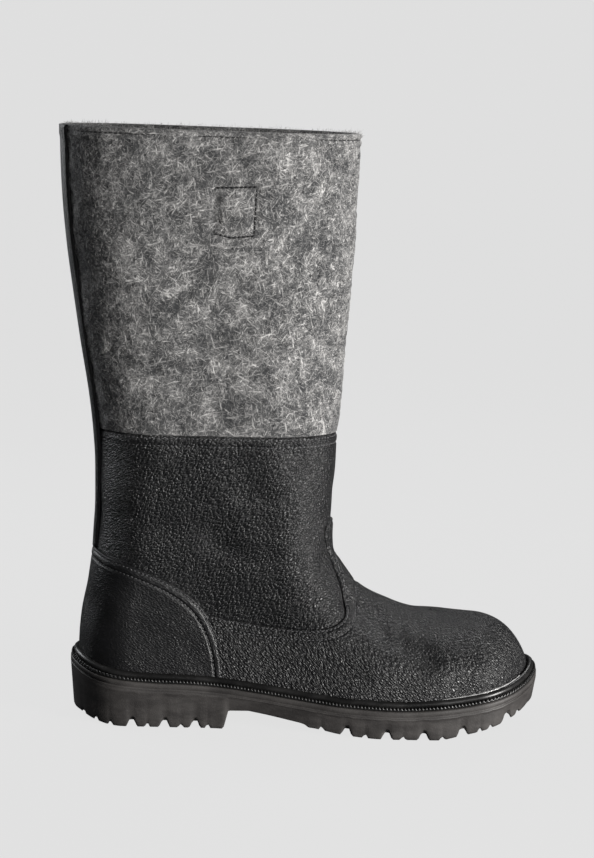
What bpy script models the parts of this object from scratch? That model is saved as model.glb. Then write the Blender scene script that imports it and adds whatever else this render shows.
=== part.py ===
"""Felt-shaft winter boot for a right foot, on a moulded lug sole.

+X points to the toe, +Y to the inner side of the foot and +Z up. The origin lies on the
floor under the middle of the heel. Lengths are in metres. A station is a share of the
upper's length, from 0 at the back of the heel to 1 at the tip of the toe.
"""

import math

import bmesh
import bpy
import numpy as np

# Lengths and heights of the last and leg
LENGTH = 0.2864
ORIGIN_STATION = 0.1578
BOOT_HEIGHT = 0.377
SEAM_HEIGHT = 0.1868
THROAT_HEIGHT = 0.122
VAMP_HEIGHT = 0.0686
COLLAR_DROP = 0.0025

# Widths of the upper
BALL_WIDTH = 0.097
HEEL_WIDTH = 0.062
LEG_WIDTH = 0.069
COLLAR_WIDTH = 0.080

# How far the rounding reaches in from the toe, the shin and the back
TOE_RADIUS = 0.0345
SHIN_ROUND = 0.072
HEEL_ROUND = 0.032
CALF_ROUND = 0.058

# Walls and overlays
GAP = 0.0003
LEATHER_WALL = 0.0026
OVERLAY = 0.0016
FELT_WALL = 0.0045
FELT_SET_BACK = 0.0008
FELT_RISE = 0.010
LAP = 0.012
HEM_DEPTH = 0.0085
HEM_SWELL = 0.0005
RIM_ROUND = 0.0012
STAY_THICKNESS = 0.0012
STAY_FOOT_WIDTH = 0.022
STAY_TOP_WIDTH = 0.030
BOX_STITCH_WIDTH = 0.0255
BOX_STITCH_HEIGHT = 0.030
BOX_STITCH_SWELL = 0.0009
BOX_STITCH_STATION = 0.288
BOX_STITCH_LEVEL = 0.828

# Sole, welt and insole
HEEL_HEIGHT = 0.029
BALL_HEIGHT = 0.0187
TOE_SPRING = 0.0137
HEEL_BEVEL = 0.005
FORE_ROLL = 0.0044
ARCH_HEIGHT = 0.0126
LIP_REACH = 0.0055
LIP_BAND = 0.004
LIP_EDGE = 0.0005
SLOT_DEPTH = 0.0011
SLOT_HEIGHT = 0.0007
WALL_TAPER = 0.0022
TREAD_EDGE = 0.0010
BEAD_WIDTH = 0.0033
BEAD_HEIGHT = 0.0054
LEDGE_HEIGHT = 0.0009
LEDGE_INSET = 0.0004
INSOLE_THICKNESS = 0.004
INSOLE_CLEARANCE = 0.0009
GROOVE_WIDTH = 0.0070
GROOVE_ROOT = 0.0030
GROOVE_DEPTH = 0.0042
CHANNEL_WIDTH = 0.0032
CHANNEL_DEPTH = 0.0030
HEEL_CHANNEL_OFFSET = 0.013
FORE_CHANNEL_OFFSET = 0.017

# Shares of a height between which one form gives way to the next
FOOT_ENDS = 0.80
LEG_STARTS = 1.15
ROUNDING_GROWS = 0.75
ROUNDING_FULL = 0.80
SOLE_SAG_ENDS = 0.60

# Shares by which cutters and guide lines run past the boot
PAST_BACK = -0.20
PAST_TOE = 1.20
PAST_SOLE = -0.10
PAST_COLLAR = 1.10

# Mesh fineness
COLUMNS = 22
FAN_ROWS = 16
SHAFT_ROWS = 5
CURVE_POINTS = 70
ARC_POINTS = 40
SPLINE_STEPS = 6
CHANNEL_POINTS = 12

# station, share of ball width over heel width, outer and inner half width as shares of the width
FOOT_PLAN = (
    (0.000, 0.00, 0.500, 0.500),
    (0.108, 0.00, 0.510, 0.510),
    (0.212, 0.00, 0.510, 0.490),
    (0.317, 0.20, 0.465, 0.405),
    (0.422, 0.40, 0.470, 0.355),
    (0.527, 0.65, 0.484, 0.385),
    (0.631, 0.85, 0.504, 0.457),
    (0.719, 1.00, 0.492, 0.490),
    (0.788, 1.00, 0.487, 0.515),
    (0.858, 1.00, 0.460, 0.510),
    (0.928, 1.00, 0.430, 0.490),
    (1.000, 1.00, 0.380, 0.460),
)

# station, rise from the vamp height to the throat height; from the toe back to the throat
VAMP_LINE = (
    (1.400, -0.224),
    (0.850, -0.017),
    (0.803, 0.000),
    (0.757, 0.024),
    (0.702, 0.095),
    (0.646, 0.222),
    (0.608, 0.354),
    (0.587, 0.486),
    (0.572, 0.623),
    (0.560, 0.751),
    (0.5535, 0.930),
)

# station, rise from the throat height to the boot height
SHIN_LINE = (
    (0.5532, 0.02),
    (0.5550, 0.055),
    (0.5569, 0.10),
    (0.5601, 0.18),
    (0.5639, 0.255),
    (0.5730, 0.38),
    (0.5824, 0.58),
    (0.5911, 0.78),
    (0.5964, 0.90),
    (0.5974, 1.00),
    (0.5974, 1.20),
)

# share of the boot height, station
BACK_LINE = (
    (0.000, 0.0007),
    (0.114, 0.0000),
    (0.167, 0.0049),
    (0.212, 0.0133),
    (0.247, 0.0220),
    (0.281, 0.0283),
    (0.324, 0.0314),
    (0.369, 0.0346),
    (0.435, 0.0339),
    (0.496, 0.0283),
    (0.554, 0.0189),
    (0.639, 0.0000),
    (0.724, -0.0170),
    (0.806, -0.0322),
    (0.891, -0.0428),
    (0.958, -0.0470),
    (1.000, -0.0482),
    (1.200, -0.0500),
)

# share of the front outline from the toe to the lap, share of the back from the feather to the lap
ROW_PACE = (
    (0.000, 0.000),
    (0.280, 0.190),
    (0.540, 0.330),
    (0.680, 0.470),
    (0.770, 0.600),
    (1.000, 1.000),
)

# station, share of the heel height over the ball height, share of the toe spring
SOLE_TOP = (
    (0.000, 1.000, 0.70),
    (0.060, 1.000, 0.26),
    (0.130, 1.000, 0.06),
    (0.198, 1.000, 0.00),
    (0.300, 0.885, 0.00),
    (0.404, 0.610, 0.00),
    (0.492, 0.340, 0.00),
    (0.600, 0.070, 0.00),
    (0.712, 0.000, 0.00),
    (0.823, 0.000, 0.16),
    (0.940, 0.000, 0.62),
    (0.985, 0.000, 0.96),
    (1.000, 0.000, 1.14),
)

# station, shares of the heel bevel, of the forefoot's roll and of the toe spring
SOLE_BOTTOM = (
    (0.000, 1.00, 0.00, 0.00),
    (0.035, 0.46, 0.00, 0.00),
    (0.080, 0.04, 0.00, 0.00),
    (0.100, 0.00, 0.00, 0.00),
    (0.330, 0.00, 0.00, 0.00),
    (0.440, 0.00, 1.00, 0.00),
    (0.511, 0.00, 1.00, 0.00),
    (0.582, 0.00, 0.36, 0.00),
    (0.631, 0.00, 0.11, 0.00),
    (0.666, 0.00, 0.00, 0.00),
    (0.795, 0.00, 0.00, 0.00),
    (0.846, 0.00, 0.00, 0.19),
    (0.889, 0.00, 0.00, 0.38),
    (0.921, 0.00, 0.00, 0.56),
    (0.952, 0.00, 0.00, 0.77),
    (0.985, 0.00, 0.00, 1.02),
    (1.000, 0.00, 0.00, 1.18),
)

# station, share of the arch height: underside of the waist between heel breast and tread
ARCH_LINE = (
    (0.3345, 0.955),
    (0.3800, 1.000),
    (0.4218, 0.850),
    (0.4916, 0.570),
    (0.5038, 0.500),
    (0.5108, 0.370),
)
BREAST_STATION = 0.324

# outer side of the welt's bead: share of its width, share of its height
BEAD_SECTION = (
    (1.00, 0.42),
    (0.95, 0.70),
    (0.68, 0.93),
    (0.30, 1.00),
    (0.00, 0.88),
)
BEAD_FOOT = 0.80

# stations of the grooves that part the lugs
HEEL_GROOVES = (0.1215, 0.1938, 0.2612)
FORE_GROOVES = (0.5953, 0.6833, 0.7643, 0.8495, 0.9490)

# station, share of the throat height: upper edge of the vamp, from its wing to the shin
VAMP_EDGE = (
    (0.284, 0.598),
    (0.344, 0.575),
    (0.421, 0.553),
    (0.500, 0.547),
    (0.552, 0.560),
    (0.579, 0.588),
    (0.589, 0.632),
    (0.588, 0.674),
    (0.568, 0.789),
    (0.547, 0.937),
    (0.541, 1.004),
    (0.552, 1.066),
    (0.620, 1.085),
)

# station, share of the throat height: edge of the counter, from the back seam to the sole
COUNTER_EDGE = (
    (-0.060, 0.914),
    (0.027, 0.905),
    (0.063, 0.880),
    (0.113, 0.850),
    (0.159, 0.810),
    (0.197, 0.770),
    (0.233, 0.719),
    (0.270, 0.642),
    (0.297, 0.538),
    (0.314, 0.432),
    (0.323, 0.311),
    (0.330, 0.100),
)

# colour, roughness
LEATHER_LOOK = ((0.012, 0.012, 0.013), 0.42)
FELT_LOOK = ((0.075, 0.076, 0.080), 0.95)
RUBBER_LOOK = ((0.030, 0.027, 0.026), 0.62)
BEAD_LOOK = ((0.018, 0.018, 0.018), 0.40)
LINING_LOOK = ((0.20, 0.19, 0.18), 0.95)

PART_NAME = "felt_shaft_boot"


def table(rows):
    """Columns of a table of rows."""
    return np.array(rows).T


def smooth(at, xs, ys):
    """Monotone cubic curve through the points xs, ys, held level outside them."""
    steps = np.diff(xs)
    slopes = np.diff(ys) / steps
    before, after = slopes[:-1], slopes[1:]
    same_way = before * after > 0
    safe = np.where(same_way, before * after, 1.0)
    weight_a = 2 * steps[1:] + steps[:-1]
    weight_b = steps[1:] + 2 * steps[:-1]
    mean = (weight_a + weight_b) * safe
    inner = np.where(same_way, mean / np.where(same_way, weight_a * after + weight_b * before, 1.0), 0.0)
    ends = np.concatenate([[slopes[0]], inner, [slopes[-1]]])
    at = np.clip(at, xs[0], xs[-1])
    k = np.clip(np.searchsorted(xs, at, side="right") - 1, 0, len(steps) - 1)
    t = (at - xs[k]) / steps[k]
    straight = (1 + 2 * t) * (1 - t) ** 2 * ys[k] + t * t * (3 - 2 * t) * ys[k + 1]
    return straight + steps[k] * t * (1 - t) * ((1 - t) * ends[k] - t * ends[k + 1])


def ease(value, low, high):
    """Smooth step from 0 at low to 1 at high."""
    t = np.clip((value - low) / (high - low), 0.0, 1.0)
    return t * t * (3 - 2 * t)


def x_of(station):
    """Place along the boot of a station."""
    return (np.asarray(station) - ORIGIN_STATION) * LENGTH


def station_of(x):
    """Station of a place along the boot."""
    return np.asarray(x) / LENGTH + ORIGIN_STATION


def rounded_line(points, steps=SPLINE_STEPS):
    """Curve through the points of an open line, cubic between each pair (Catmull-Rom)."""
    padded = np.vstack([2 * points[0] - points[1], points, 2 * points[-1] - points[-2]])
    t = np.linspace(0, 1, steps, endpoint=False)[:, None]
    spans = []
    for a, b, c, d in zip(padded[:-3], padded[1:-2], padded[2:-1], padded[3:]):
        spans.append(
            0.5 * (2 * b + (c - a) * t + (2 * a - 5 * b + 4 * c - d) * t**2 + (3 * b - a - 3 * c + d) * t**3)
        )
    return np.vstack(spans + [points[-1:]])


def sole_top(x):
    """Height of the sole's upper face at x."""
    stations, heel, toe = table(SOLE_TOP)
    at = station_of(x)
    rise = (HEEL_HEIGHT - BALL_HEIGHT) * smooth(at, stations, heel)
    return BALL_HEIGHT + rise + TOE_SPRING * smooth(at, stations, toe)


def sole_bottom(x):
    """Height of the tread at x, before the waist is cut out."""
    stations, bevel, roll, toe = table(SOLE_BOTTOM)
    at = station_of(x)
    heel = HEEL_BEVEL * smooth(at, stations, bevel)
    return heel + FORE_ROLL * smooth(at, stations, roll) + TOE_SPRING * smooth(at, stations, toe)


def back_x(z):
    """Back of the upper at height z."""
    shares, stations = table(BACK_LINE)
    return x_of(smooth(z / BOOT_HEIGHT, shares, stations))


def back_line():
    """Back of the boot in side view, from below the floor to above the collar."""
    z = np.linspace(PAST_SOLE, PAST_TOE, CURVE_POINTS) * BOOT_HEIGHT
    return np.column_stack([back_x(z), z])


def top_line():
    """Top of the vamp and front of the leg in side view, from far past the toe to above the collar."""
    vamp = np.array([(x_of(s), VAMP_HEIGHT + r * (THROAT_HEIGHT - VAMP_HEIGHT)) for s, r in VAMP_LINE])
    shin = np.array([(x_of(s), THROAT_HEIGHT + r * (BOOT_HEIGHT - THROAT_HEIGHT)) for s, r in SHIN_LINE])
    return rounded_line(np.vstack([vamp, shin]))


def toe_arc():
    """Round of the toe in side view, from below the feather line up to the top of the vamp."""
    line = top_line()[::-1]
    angles = np.linspace(math.radians(-20), math.radians(90), ARC_POINTS)
    x = x_of(1.0) - TOE_RADIUS * (1 - np.cos(angles))
    return np.column_stack([x, np.interp(x, line[:, 0], line[:, 1]) - TOE_RADIUS * (1 - np.sin(angles))])


def toe_x(z):
    """Tip of the upper at height z."""
    arc = toe_arc()
    forward = arc[np.argmax(arc[:, 0]) :]
    return np.interp(z, forward[:, 1], forward[:, 0])


def front_outline():
    """Side-view outline of toe, vamp and shin as one line."""
    top = top_line()
    behind_toe = top[top[:, 0] < x_of(1.0) - TOE_RADIUS]
    return np.vstack([toe_arc(), behind_toe])


def distance_to(points, line):
    """Shortest distance from each point to a broken line."""
    starts, runs = line[:-1], np.diff(line, axis=0)
    from_start = points[..., None, :] - starts
    share = (from_start * runs).sum(-1) / (runs**2).sum(-1)
    nearest = np.clip(share, 0, 1)[..., None] * runs
    return np.sqrt(((from_start - nearest) ** 2).sum(-1)).min(-1)


TOP_LINE = top_line()
BACK = back_line()


def foot_plan(x):
    """Widths of the foot at x to the outer and to the inner side of its straight axis."""
    stations, ball, outer, inner = table(FOOT_PLAN)
    at = station_of(x)
    width = HEEL_WIDTH + (BALL_WIDTH - HEEL_WIDTH) * smooth(at, stations, ball)
    return width * smooth(at, stations, outer), width * smooth(at, stations, inner)


def half_width(x, z):
    """Half width of the upper at a point of its side view.

    The flat width is narrowed by the root of 1 - a*a - b*b - c*c, where a, b and c are 1 on the
    top line, the toe and the back and fall to 0 at the distance where the rounding ends.
    """
    outer, inner = foot_plan(x)
    foot = (outer + inner) / 2
    leg = (LEG_WIDTH + (COLLAR_WIDTH - LEG_WIDTH) * ease(z, SEAM_HEIGHT, BOOT_HEIGHT)) / 2
    into_leg = ease(z, VAMP_HEIGHT * FOOT_ENDS, THROAT_HEIGHT * LEG_STARTS)
    up_leg = ease(z, THROAT_HEIGHT * ROUNDING_GROWS, BOOT_HEIGHT * ROUNDING_FULL)
    points = np.stack([x, z], -1)
    shin_reach = TOE_RADIUS + (SHIN_ROUND - TOE_RADIUS) * up_leg
    back_reach = HEEL_ROUND + (CALF_ROUND - HEEL_ROUND) * up_leg
    a = 1 - np.clip(distance_to(points, TOP_LINE) / shin_reach, 0, 1)
    b = 1 - np.clip((x_of(1.0) - x) / TOE_RADIUS, 0, 1)
    c = 1 - np.clip(distance_to(points, BACK) / back_reach, 0, 1)
    roundness = np.sqrt(np.maximum(1 - a * a - b * b - c * c, 0))
    return (foot + (leg - foot) * into_leg) * roundness


def centre_line(x, z):
    """Sideways place of the middle of the upper, which bends inwards along the foot."""
    outer, inner = foot_plan(x)
    into_leg = ease(z, VAMP_HEIGHT * FOOT_ENDS, THROAT_HEIGHT * LEG_STARTS)
    return (inner - outer) / 2 * (1 - into_leg)


def spread(count):
    """Shares from 0 to 1, close together at both ends as round ends need."""
    return (1 - np.cos(np.linspace(0, math.pi, count + 1))) / 2


def closed_rows(x, z):
    """Rows of points from back to front on the outer side, and back again on the inner side."""
    wide, middle = half_width(x, z), centre_line(x, z)
    wide[..., 0] = 0
    wide[..., -1] = 0
    outer = np.stack([x, middle - wide, z], -1)
    inner = np.stack([x, middle + wide, z], -1)[..., -2:0:-1, :]
    return np.concatenate([outer, inner], -2)


def along(line, start, end, shares):
    """Points of a broken line at shares of the stretch between two lengths."""
    lengths = np.concatenate([[0], np.cumsum(np.sqrt((np.diff(line, axis=0) ** 2).sum(1)))])
    at = start + (end - start) * shares
    return np.column_stack([np.interp(at, lengths, line[:, 0]), np.interp(at, lengths, line[:, 1])])


def length_where(line, values):
    """Length along the line at which the values first rise through 0."""
    lengths = np.concatenate([[0], np.cumsum(np.sqrt((np.diff(line, axis=0) ** 2).sum(1)))])
    k = int(np.argmax(values > 0))
    share = -values[k - 1] / (values[k] - values[k - 1])
    return lengths[k - 1] + share * (lengths[k] - lengths[k - 1])


def leg_row(height, shares):
    """Side-view points of a level row of the leg, which drops a little to the front."""
    drop = COLLAR_DROP * (height - SEAM_HEIGHT) / (BOOT_HEIGHT - SEAM_HEIGHT)
    front_height = height - max(drop, 0)
    outline = front_outline()
    shin = outline[len(outline) // 2 :]
    start = np.array([back_x(height), height])
    end = np.array([np.interp(front_height, shin[:, 1], shin[:, 0]), front_height])
    return start + (end - start) * shares[:, None]


LEG_HEIGHTS = (
    [SEAM_HEIGHT - LAP, SEAM_HEIGHT - LAP / 2, SEAM_HEIGHT, SEAM_HEIGHT + GAP, SEAM_HEIGHT + FELT_RISE]
    + [
        SEAM_HEIGHT + FELT_RISE + (BOOT_HEIGHT - HEM_DEPTH - SEAM_HEIGHT - FELT_RISE) * k / SHAFT_ROWS
        for k in range(1, SHAFT_ROWS + 1)
    ]
    + [BOOT_HEIGHT - HEM_DEPTH + HEM_SWELL, BOOT_HEIGHT - RIM_ROUND, BOOT_HEIGHT]
)
LAP_ROW = FAN_ROWS
MID_LAP_ROW = LAP_ROW + 1
SEAM_ROW = LAP_ROW + 2
FELT_ROW = SEAM_ROW + 1
RISE_ROW = FELT_ROW + 1
HEM_ROW = RISE_ROW + SHAFT_ROWS
COLLAR_ROW = HEM_ROW + 3


def boot_surface():
    """Points and outward normals of the upper and shaft, row by row from the feather line up.

    The rows of the foot fan out: they are evenly spaced round toe, vamp and throat, and paced
    by the table up the back. The lowest follows the sole's upper face.
    """
    shares = spread(COLUMNS)
    outline = front_outline()
    above_sole = outline[:, 1] - sole_top(outline[:, 0]) - GAP
    feather = length_where(outline, above_sole)
    lap = length_where(outline, outline[:, 1] - LEG_HEIGHTS[0])
    front_shares = np.arange(FAN_ROWS) / FAN_ROWS
    fronts = along(outline, feather, lap, front_shares)
    back_feather = float(sole_top(x_of(0.0))) + GAP
    back_z = back_feather + (LEG_HEIGHTS[0] - back_feather) * smooth(front_shares, *table(ROW_PACE))
    backs = np.column_stack([back_x(back_z), back_z])
    fan = backs[:, None, :] + (fronts - backs)[:, None, :] * shares[:, None]
    sag = sole_top(fan[0, :, 0]) + GAP - fan[0, :, 1]
    fan[..., 1] += sag * (1 - ease(front_shares, 0.0, SOLE_SAG_ENDS))[:, None]
    rows = np.concatenate([fan, np.array([leg_row(h, shares) for h in LEG_HEIGHTS])])
    points = closed_rows(rows[..., 0], rows[..., 1])
    across = np.roll(points, -1, 1) - np.roll(points, 1, 1)
    upward = np.gradient(points, axis=0)
    normals = np.cross(across, upward)
    normals[0, :, 2] = 0
    return points, normals / np.linalg.norm(normals, axis=-1, keepdims=True)


SURFACE, NORMALS = boot_surface()


def skin(row, offset):
    """One row of the boot's surface, moved out by the offset."""
    return SURFACE[row] + NORMALS[row] * offset


def contour(height, offset):
    """Level outline of the foot at a height over the sole's upper face, moved out by the offset.

    Every point keeps the height of the point that it was moved from.
    """
    back = float(back_x(sole_top(x_of(0.0)) + height))
    front = float(toe_x(sole_top(x_of(1.0)) + height))
    x = back + (front - back) * spread(COLUMNS)
    ring = closed_rows(x, sole_top(x) + height)
    run = np.roll(ring, -1, 0) - np.roll(ring, 1, 0)
    outward = np.column_stack([run[:, 1], -run[:, 0], np.zeros(len(run))])
    return ring + outward / np.linalg.norm(outward, axis=1, keepdims=True) * offset


def collection(name):
    """New collection in the scene."""
    made = bpy.data.collections.new(name)
    bpy.context.scene.collection.children.link(made)
    return made


def material(name, look):
    """Principled material of one look."""
    colour, roughness = look
    made = bpy.data.materials.new(name)
    made.use_nodes = True
    shader = made.node_tree.nodes["Principled BSDF"]
    shader.inputs["Base Color"].default_value = (*colour, 1.0)
    shader.inputs["Roughness"].default_value = roughness
    shader.inputs["Metallic"].default_value = 0.0
    return made


def add_object(name, mesh, group, look=None):
    """Object for a finished mesh. A cutter has no look and shows as wire."""
    made = bpy.data.objects.new(name, mesh)
    group.objects.link(made)
    if look:
        mesh.materials.append(material(name + "_finish", look))
        mesh.shade_smooth()
        mesh.set_sharp_from_angle(angle=math.radians(40))
    else:
        made.hide_render = True
        made.display_type = "WIRE"
    return made


def loft(name, loops, wrapped):
    """Skin over closed loops, wrapped round into a ring or with its first and last loops capped.

    A cap is a ladder of faces between the two sides of its loop.
    """
    loops = np.asarray(loops)
    count, around = loops.shape[:2]
    index = np.arange(count * around).reshape(count, around)
    if wrapped:
        above = np.roll(index, -1, 0)
    else:
        above, index = index[1:], index[:-1]
    beside, above_beside = np.roll(index, -1, 1), np.roll(above, -1, 1)
    quads = np.stack([index, beside, above_beside, above], -1).reshape(-1, 4)
    faces = quads.tolist()
    if not wrapped:
        for first, turned in (0, True), ((count - 1) * around, False):
            for k in range(around // 2):
                rung = dict.fromkeys([k, k + 1, around - k - 1, (around - k) % around])
                face = [first + corner for corner in rung]
                faces.append(face[::-1] if turned else face)
    mesh = bpy.data.meshes.new(name)
    mesh.from_pydata(loops.reshape(-1, 3).tolist(), [], faces)
    shape = bmesh.new()
    shape.from_mesh(mesh)
    bmesh.ops.recalc_face_normals(shape, faces=shape.faces[:])
    bmesh.ops.triangulate(shape, faces=shape.faces[:])
    shape.to_mesh(mesh)
    shape.free()
    return mesh


def prism(name, outline, start, end, across=1):
    """Closed block: a flat outline swept from start to end along Y (across=1) or X (across=0)."""
    others = [axis for axis in range(3) if axis != across]
    shape = bmesh.new()
    corners = []
    for point in outline:
        corner = [start, start, start]
        corner[others[0]], corner[others[1]] = point
        corners.append(shape.verts.new(corner))
    face = shape.faces.new(corners)
    swept = bmesh.ops.extrude_face_region(shape, geom=[face])
    moved = [item for item in swept["geom"] if isinstance(item, bmesh.types.BMVert)]
    shift = [0.0, 0.0, 0.0]
    shift[across] = end - start
    bmesh.ops.translate(shape, verts=moved, vec=shift)
    bmesh.ops.recalc_face_normals(shape, faces=shape.faces[:])
    mesh = bpy.data.meshes.new(name)
    shape.to_mesh(mesh)
    shape.free()
    return mesh


def join_meshes(name, meshes):
    """One mesh that holds several separate closed blocks."""
    shape = bmesh.new()
    for mesh in meshes:
        shape.from_mesh(mesh)
        bpy.data.meshes.remove(mesh)
    joined = bpy.data.meshes.new(name)
    shape.to_mesh(joined)
    shape.free()
    return joined


def cut(target, tool, operation="DIFFERENCE"):
    """Boolean of the target with a cutter."""
    step = target.modifiers.new(f"{operation.lower()}_{tool.name}", "BOOLEAN")
    step.operation = operation
    step.solver = "EXACT"
    step.object = tool


def edge_points(rows):
    """Side-view points of an edge given by stations and shares of the throat height."""
    return [(float(x_of(station)), share * THROAT_HEIGHT) for station, share in rows]


def side_width():
    """Reach of a cutter to each side, past everything."""
    return BALL_WIDTH + COLLAR_WIDTH


def make_upper(parts):
    """Leather quarters and foot: one wall, open at its top and under the foot."""
    rows = range(SEAM_ROW + 1)
    loops = [skin(row, 0.0) for row in rows] + [skin(row, -LEATHER_WALL) for row in reversed(rows)]
    return add_object("upper", loft("upper", loops, wrapped=True), parts, LEATHER_LOOK)


def make_overlay(name, last_row, outline, parts, cutters):
    """Leather panel over the upper: the layer between two offsets, inside a side-view outline."""
    rows = range(last_row + 1)
    loops = [skin(row, GAP + OVERLAY) for row in rows] + [skin(row, GAP) for row in reversed(rows)]
    panel = add_object(name, loft(name, loops, wrapped=True), parts, LEATHER_LOOK)
    frame = add_object(name + "_outline", prism(name, outline, -side_width(), side_width()), cutters)
    cut(panel, frame, "INTERSECT")
    return panel


def beside(line, distance):
    """Broken line moved to its left by a distance, corner by corner."""
    line = np.asarray(line)
    run = np.gradient(line, axis=0)
    left = np.column_stack([-run[:, 1], run[:, 0]]) / np.linalg.norm(run, axis=1, keepdims=True)
    return line + left * distance


def make_vamp(parts, cutters):
    """Vamp: its upper edge is its own, and its wings end at the counter's edge."""
    wing = edge_points(VAMP_EDGE)
    edge = edge_points(COUNTER_EDGE)
    behind = beside(edge[::-1], -2 * GAP)
    start_z = wing[0][1]
    start = (float(np.interp(start_z, behind[:, 1], behind[:, 0])), start_z)
    behind = [tuple(point) for point in behind.tolist() if point[1] < start_z]
    far = float(x_of(PAST_TOE))
    low = THROAT_HEIGHT * PAST_SOLE
    outline = [(behind[0][0], low)] + behind + [start] + wing[1:] + [(far, wing[-1][1]), (far, low)]
    return make_overlay("vamp", FAN_ROWS - 2, outline, parts, cutters)


def make_counter(parts, cutters):
    """Heel counter: a panel round the back, from the foot of the back stay to the sole."""
    edge = edge_points(COUNTER_EDGE)
    behind = float(x_of(PAST_BACK))
    low = THROAT_HEIGHT * PAST_SOLE
    outline = [(behind, edge[0][1])] + edge + [(edge[-1][0], low), (behind, low)]
    return make_overlay("counter", FAN_ROWS - 3, outline, parts, cutters)


def make_shaft(parts, cutters):
    """Felt shaft: its foot is thinned to lap inside the leather, its rim is turned into a hem."""
    inside_leather = -(LEATHER_WALL + GAP)
    outer = [(LAP_ROW, inside_leather), (MID_LAP_ROW, inside_leather), (FELT_ROW, inside_leather)]
    outer += [(FELT_ROW, -FELT_SET_BACK)]
    outer += [(row, 0.0) for row in range(RISE_ROW, HEM_ROW + 1)]
    outer += [(HEM_ROW + 1, HEM_SWELL), (HEM_ROW + 2, HEM_SWELL), (COLLAR_ROW, HEM_SWELL - RIM_ROUND)]
    inner = [(COLLAR_ROW, RIM_ROUND - FELT_WALL)]
    inner += [(row, -FELT_WALL) for row in range(HEM_ROW + 2, LAP_ROW - 1, -1) if row != SEAM_ROW]
    loops = [skin(row, offset) for row, offset in outer + inner]
    shaft = add_object("shaft", loft("shaft", loops, wrapped=True), parts, FELT_LOOK)
    rows = range(RISE_ROW, HEM_ROW + 1)
    swell = [skin(row, BOX_STITCH_SWELL) for row in rows]
    swell += [skin(row, -FELT_WALL / 2) for row in reversed(rows)]
    patch = add_object("box_stitch", loft("box_stitch", swell, wrapped=True), cutters)
    left, low = float(x_of(BOX_STITCH_STATION)), BOOT_HEIGHT * BOX_STITCH_LEVEL
    right, high = left + BOX_STITCH_WIDTH, low + BOX_STITCH_HEIGHT
    outline = [(left, low), (right, low), (right, high), (left, high)]
    frame = add_object("box_stitch_outline", prism("box", outline, -side_width(), 0.0), cutters)
    cut(patch, frame, "INTERSECT")
    cut(shaft, patch, "UNION")
    return shaft


def make_back_stay(parts, cutters):
    """Strip over the back seam, from the counter to the collar, wider at its top."""
    bottom = THROAT_HEIGHT * COUNTER_EDGE[0][1] + GAP
    first = int(np.argmax(SURFACE[:, 0, 2] > bottom)) - 2
    rows = [row for row in range(first, COLLAR_ROW + 1) if row != FELT_ROW]
    proud = [GAP + (HEM_SWELL if row > HEM_ROW else 0.0) for row in rows]
    loops = [skin(row, lift + STAY_THICKNESS) for row, lift in zip(rows, proud)]
    loops += [skin(row, lift) for row, lift in reversed(list(zip(rows, proud)))]
    strip = add_object("back_stay", loft("back_stay", loops, wrapped=True), parts, LEATHER_LOOK)
    foot, top = STAY_FOOT_WIDTH / 2, STAY_TOP_WIDTH / 2
    high = BOOT_HEIGHT * PAST_COLLAR
    outline = [(-foot, bottom), (foot, bottom), (top, high), (-top, high)]
    block = prism("stay", outline, float(x_of(2 * PAST_BACK)), float(x_of(ORIGIN_STATION)), across=0)
    cut(strip, add_object("back_stay_outline", block, cutters), "INTERSECT")
    return strip


def make_outsole(parts, cutters):
    """Unit sole: tread edge, wall, slot under the lip, lip, then lugs and waist cut out."""
    skin_out = GAP + OVERLAY
    lip = skin_out + LIP_REACH
    # offset from the upper, share of the height from tread to slot, height over the slot
    levels = (
        (lip - WALL_TAPER - TREAD_EDGE, 0.0, 0.0),
        (lip - WALL_TAPER, TREAD_EDGE / BALL_HEIGHT, 0.0),
        (lip - SLOT_DEPTH / 2, 1.0, 0.0),
        (lip - SLOT_DEPTH, 1.0, SLOT_HEIGHT / 2),
        (lip, 1.0, SLOT_HEIGHT),
        (lip, 1.0, LIP_BAND - LIP_EDGE),
        (lip - LIP_EDGE, 1.0, LIP_BAND),
        (skin_out, 1.0, LIP_BAND),
        (-LEATHER_WALL, 1.0, LIP_BAND),
    )
    stations = contour(0.0, 0.0)[:, 0]
    slot, bottom = sole_top(stations) - LIP_BAND, sole_bottom(stations)
    loops = []
    for offset, share, over in levels:
        ring = contour(0.0, offset)
        ring[:, 2] = bottom + (slot - bottom) * share + over
        loops.append(ring)
    sole = add_object("outsole", loft("outsole", loops, wrapped=False), parts, RUBBER_LOOK)
    deep = -HEEL_HEIGHT
    waist = [(float(x_of(s)), h * ARCH_HEIGHT) for s, h in ARCH_LINE]
    breast = float(x_of(BREAST_STATION))
    outline = [(breast, deep), (breast, 0.0)] + waist + [(waist[-1][0], deep)]
    arch = prism("arch", outline, -side_width(), side_width())
    cut(sole, add_object("arch_cutter", arch, cutters))
    cut(sole, add_object("groove_cutter", groove_blocks(), cutters))
    cut(sole, add_object("channel_cutter", channel_blocks(), cutters))
    return sole


def groove_blocks():
    """V-shaped grooves across the tread, each cut to the same depth from the tread's own height."""
    blocks = []
    slope = (GROOVE_WIDTH - GROOVE_ROOT) / 2 / GROOVE_DEPTH
    for station in HEEL_GROOVES + FORE_GROOVES:
        x = float(x_of(station))
        level = float(sole_bottom(x))
        foot = GROOVE_WIDTH / 2 + GROOVE_DEPTH * slope
        root = level + GROOVE_DEPTH
        outline = [(x - foot, level - GROOVE_DEPTH), (x + foot, level - GROOVE_DEPTH)]
        outline += [(x + GROOVE_ROOT / 2, root), (x - GROOVE_ROOT / 2, root)]
        blocks.append(prism("groove", outline, -side_width(), side_width()))
    return join_meshes("grooves", blocks)


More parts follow.
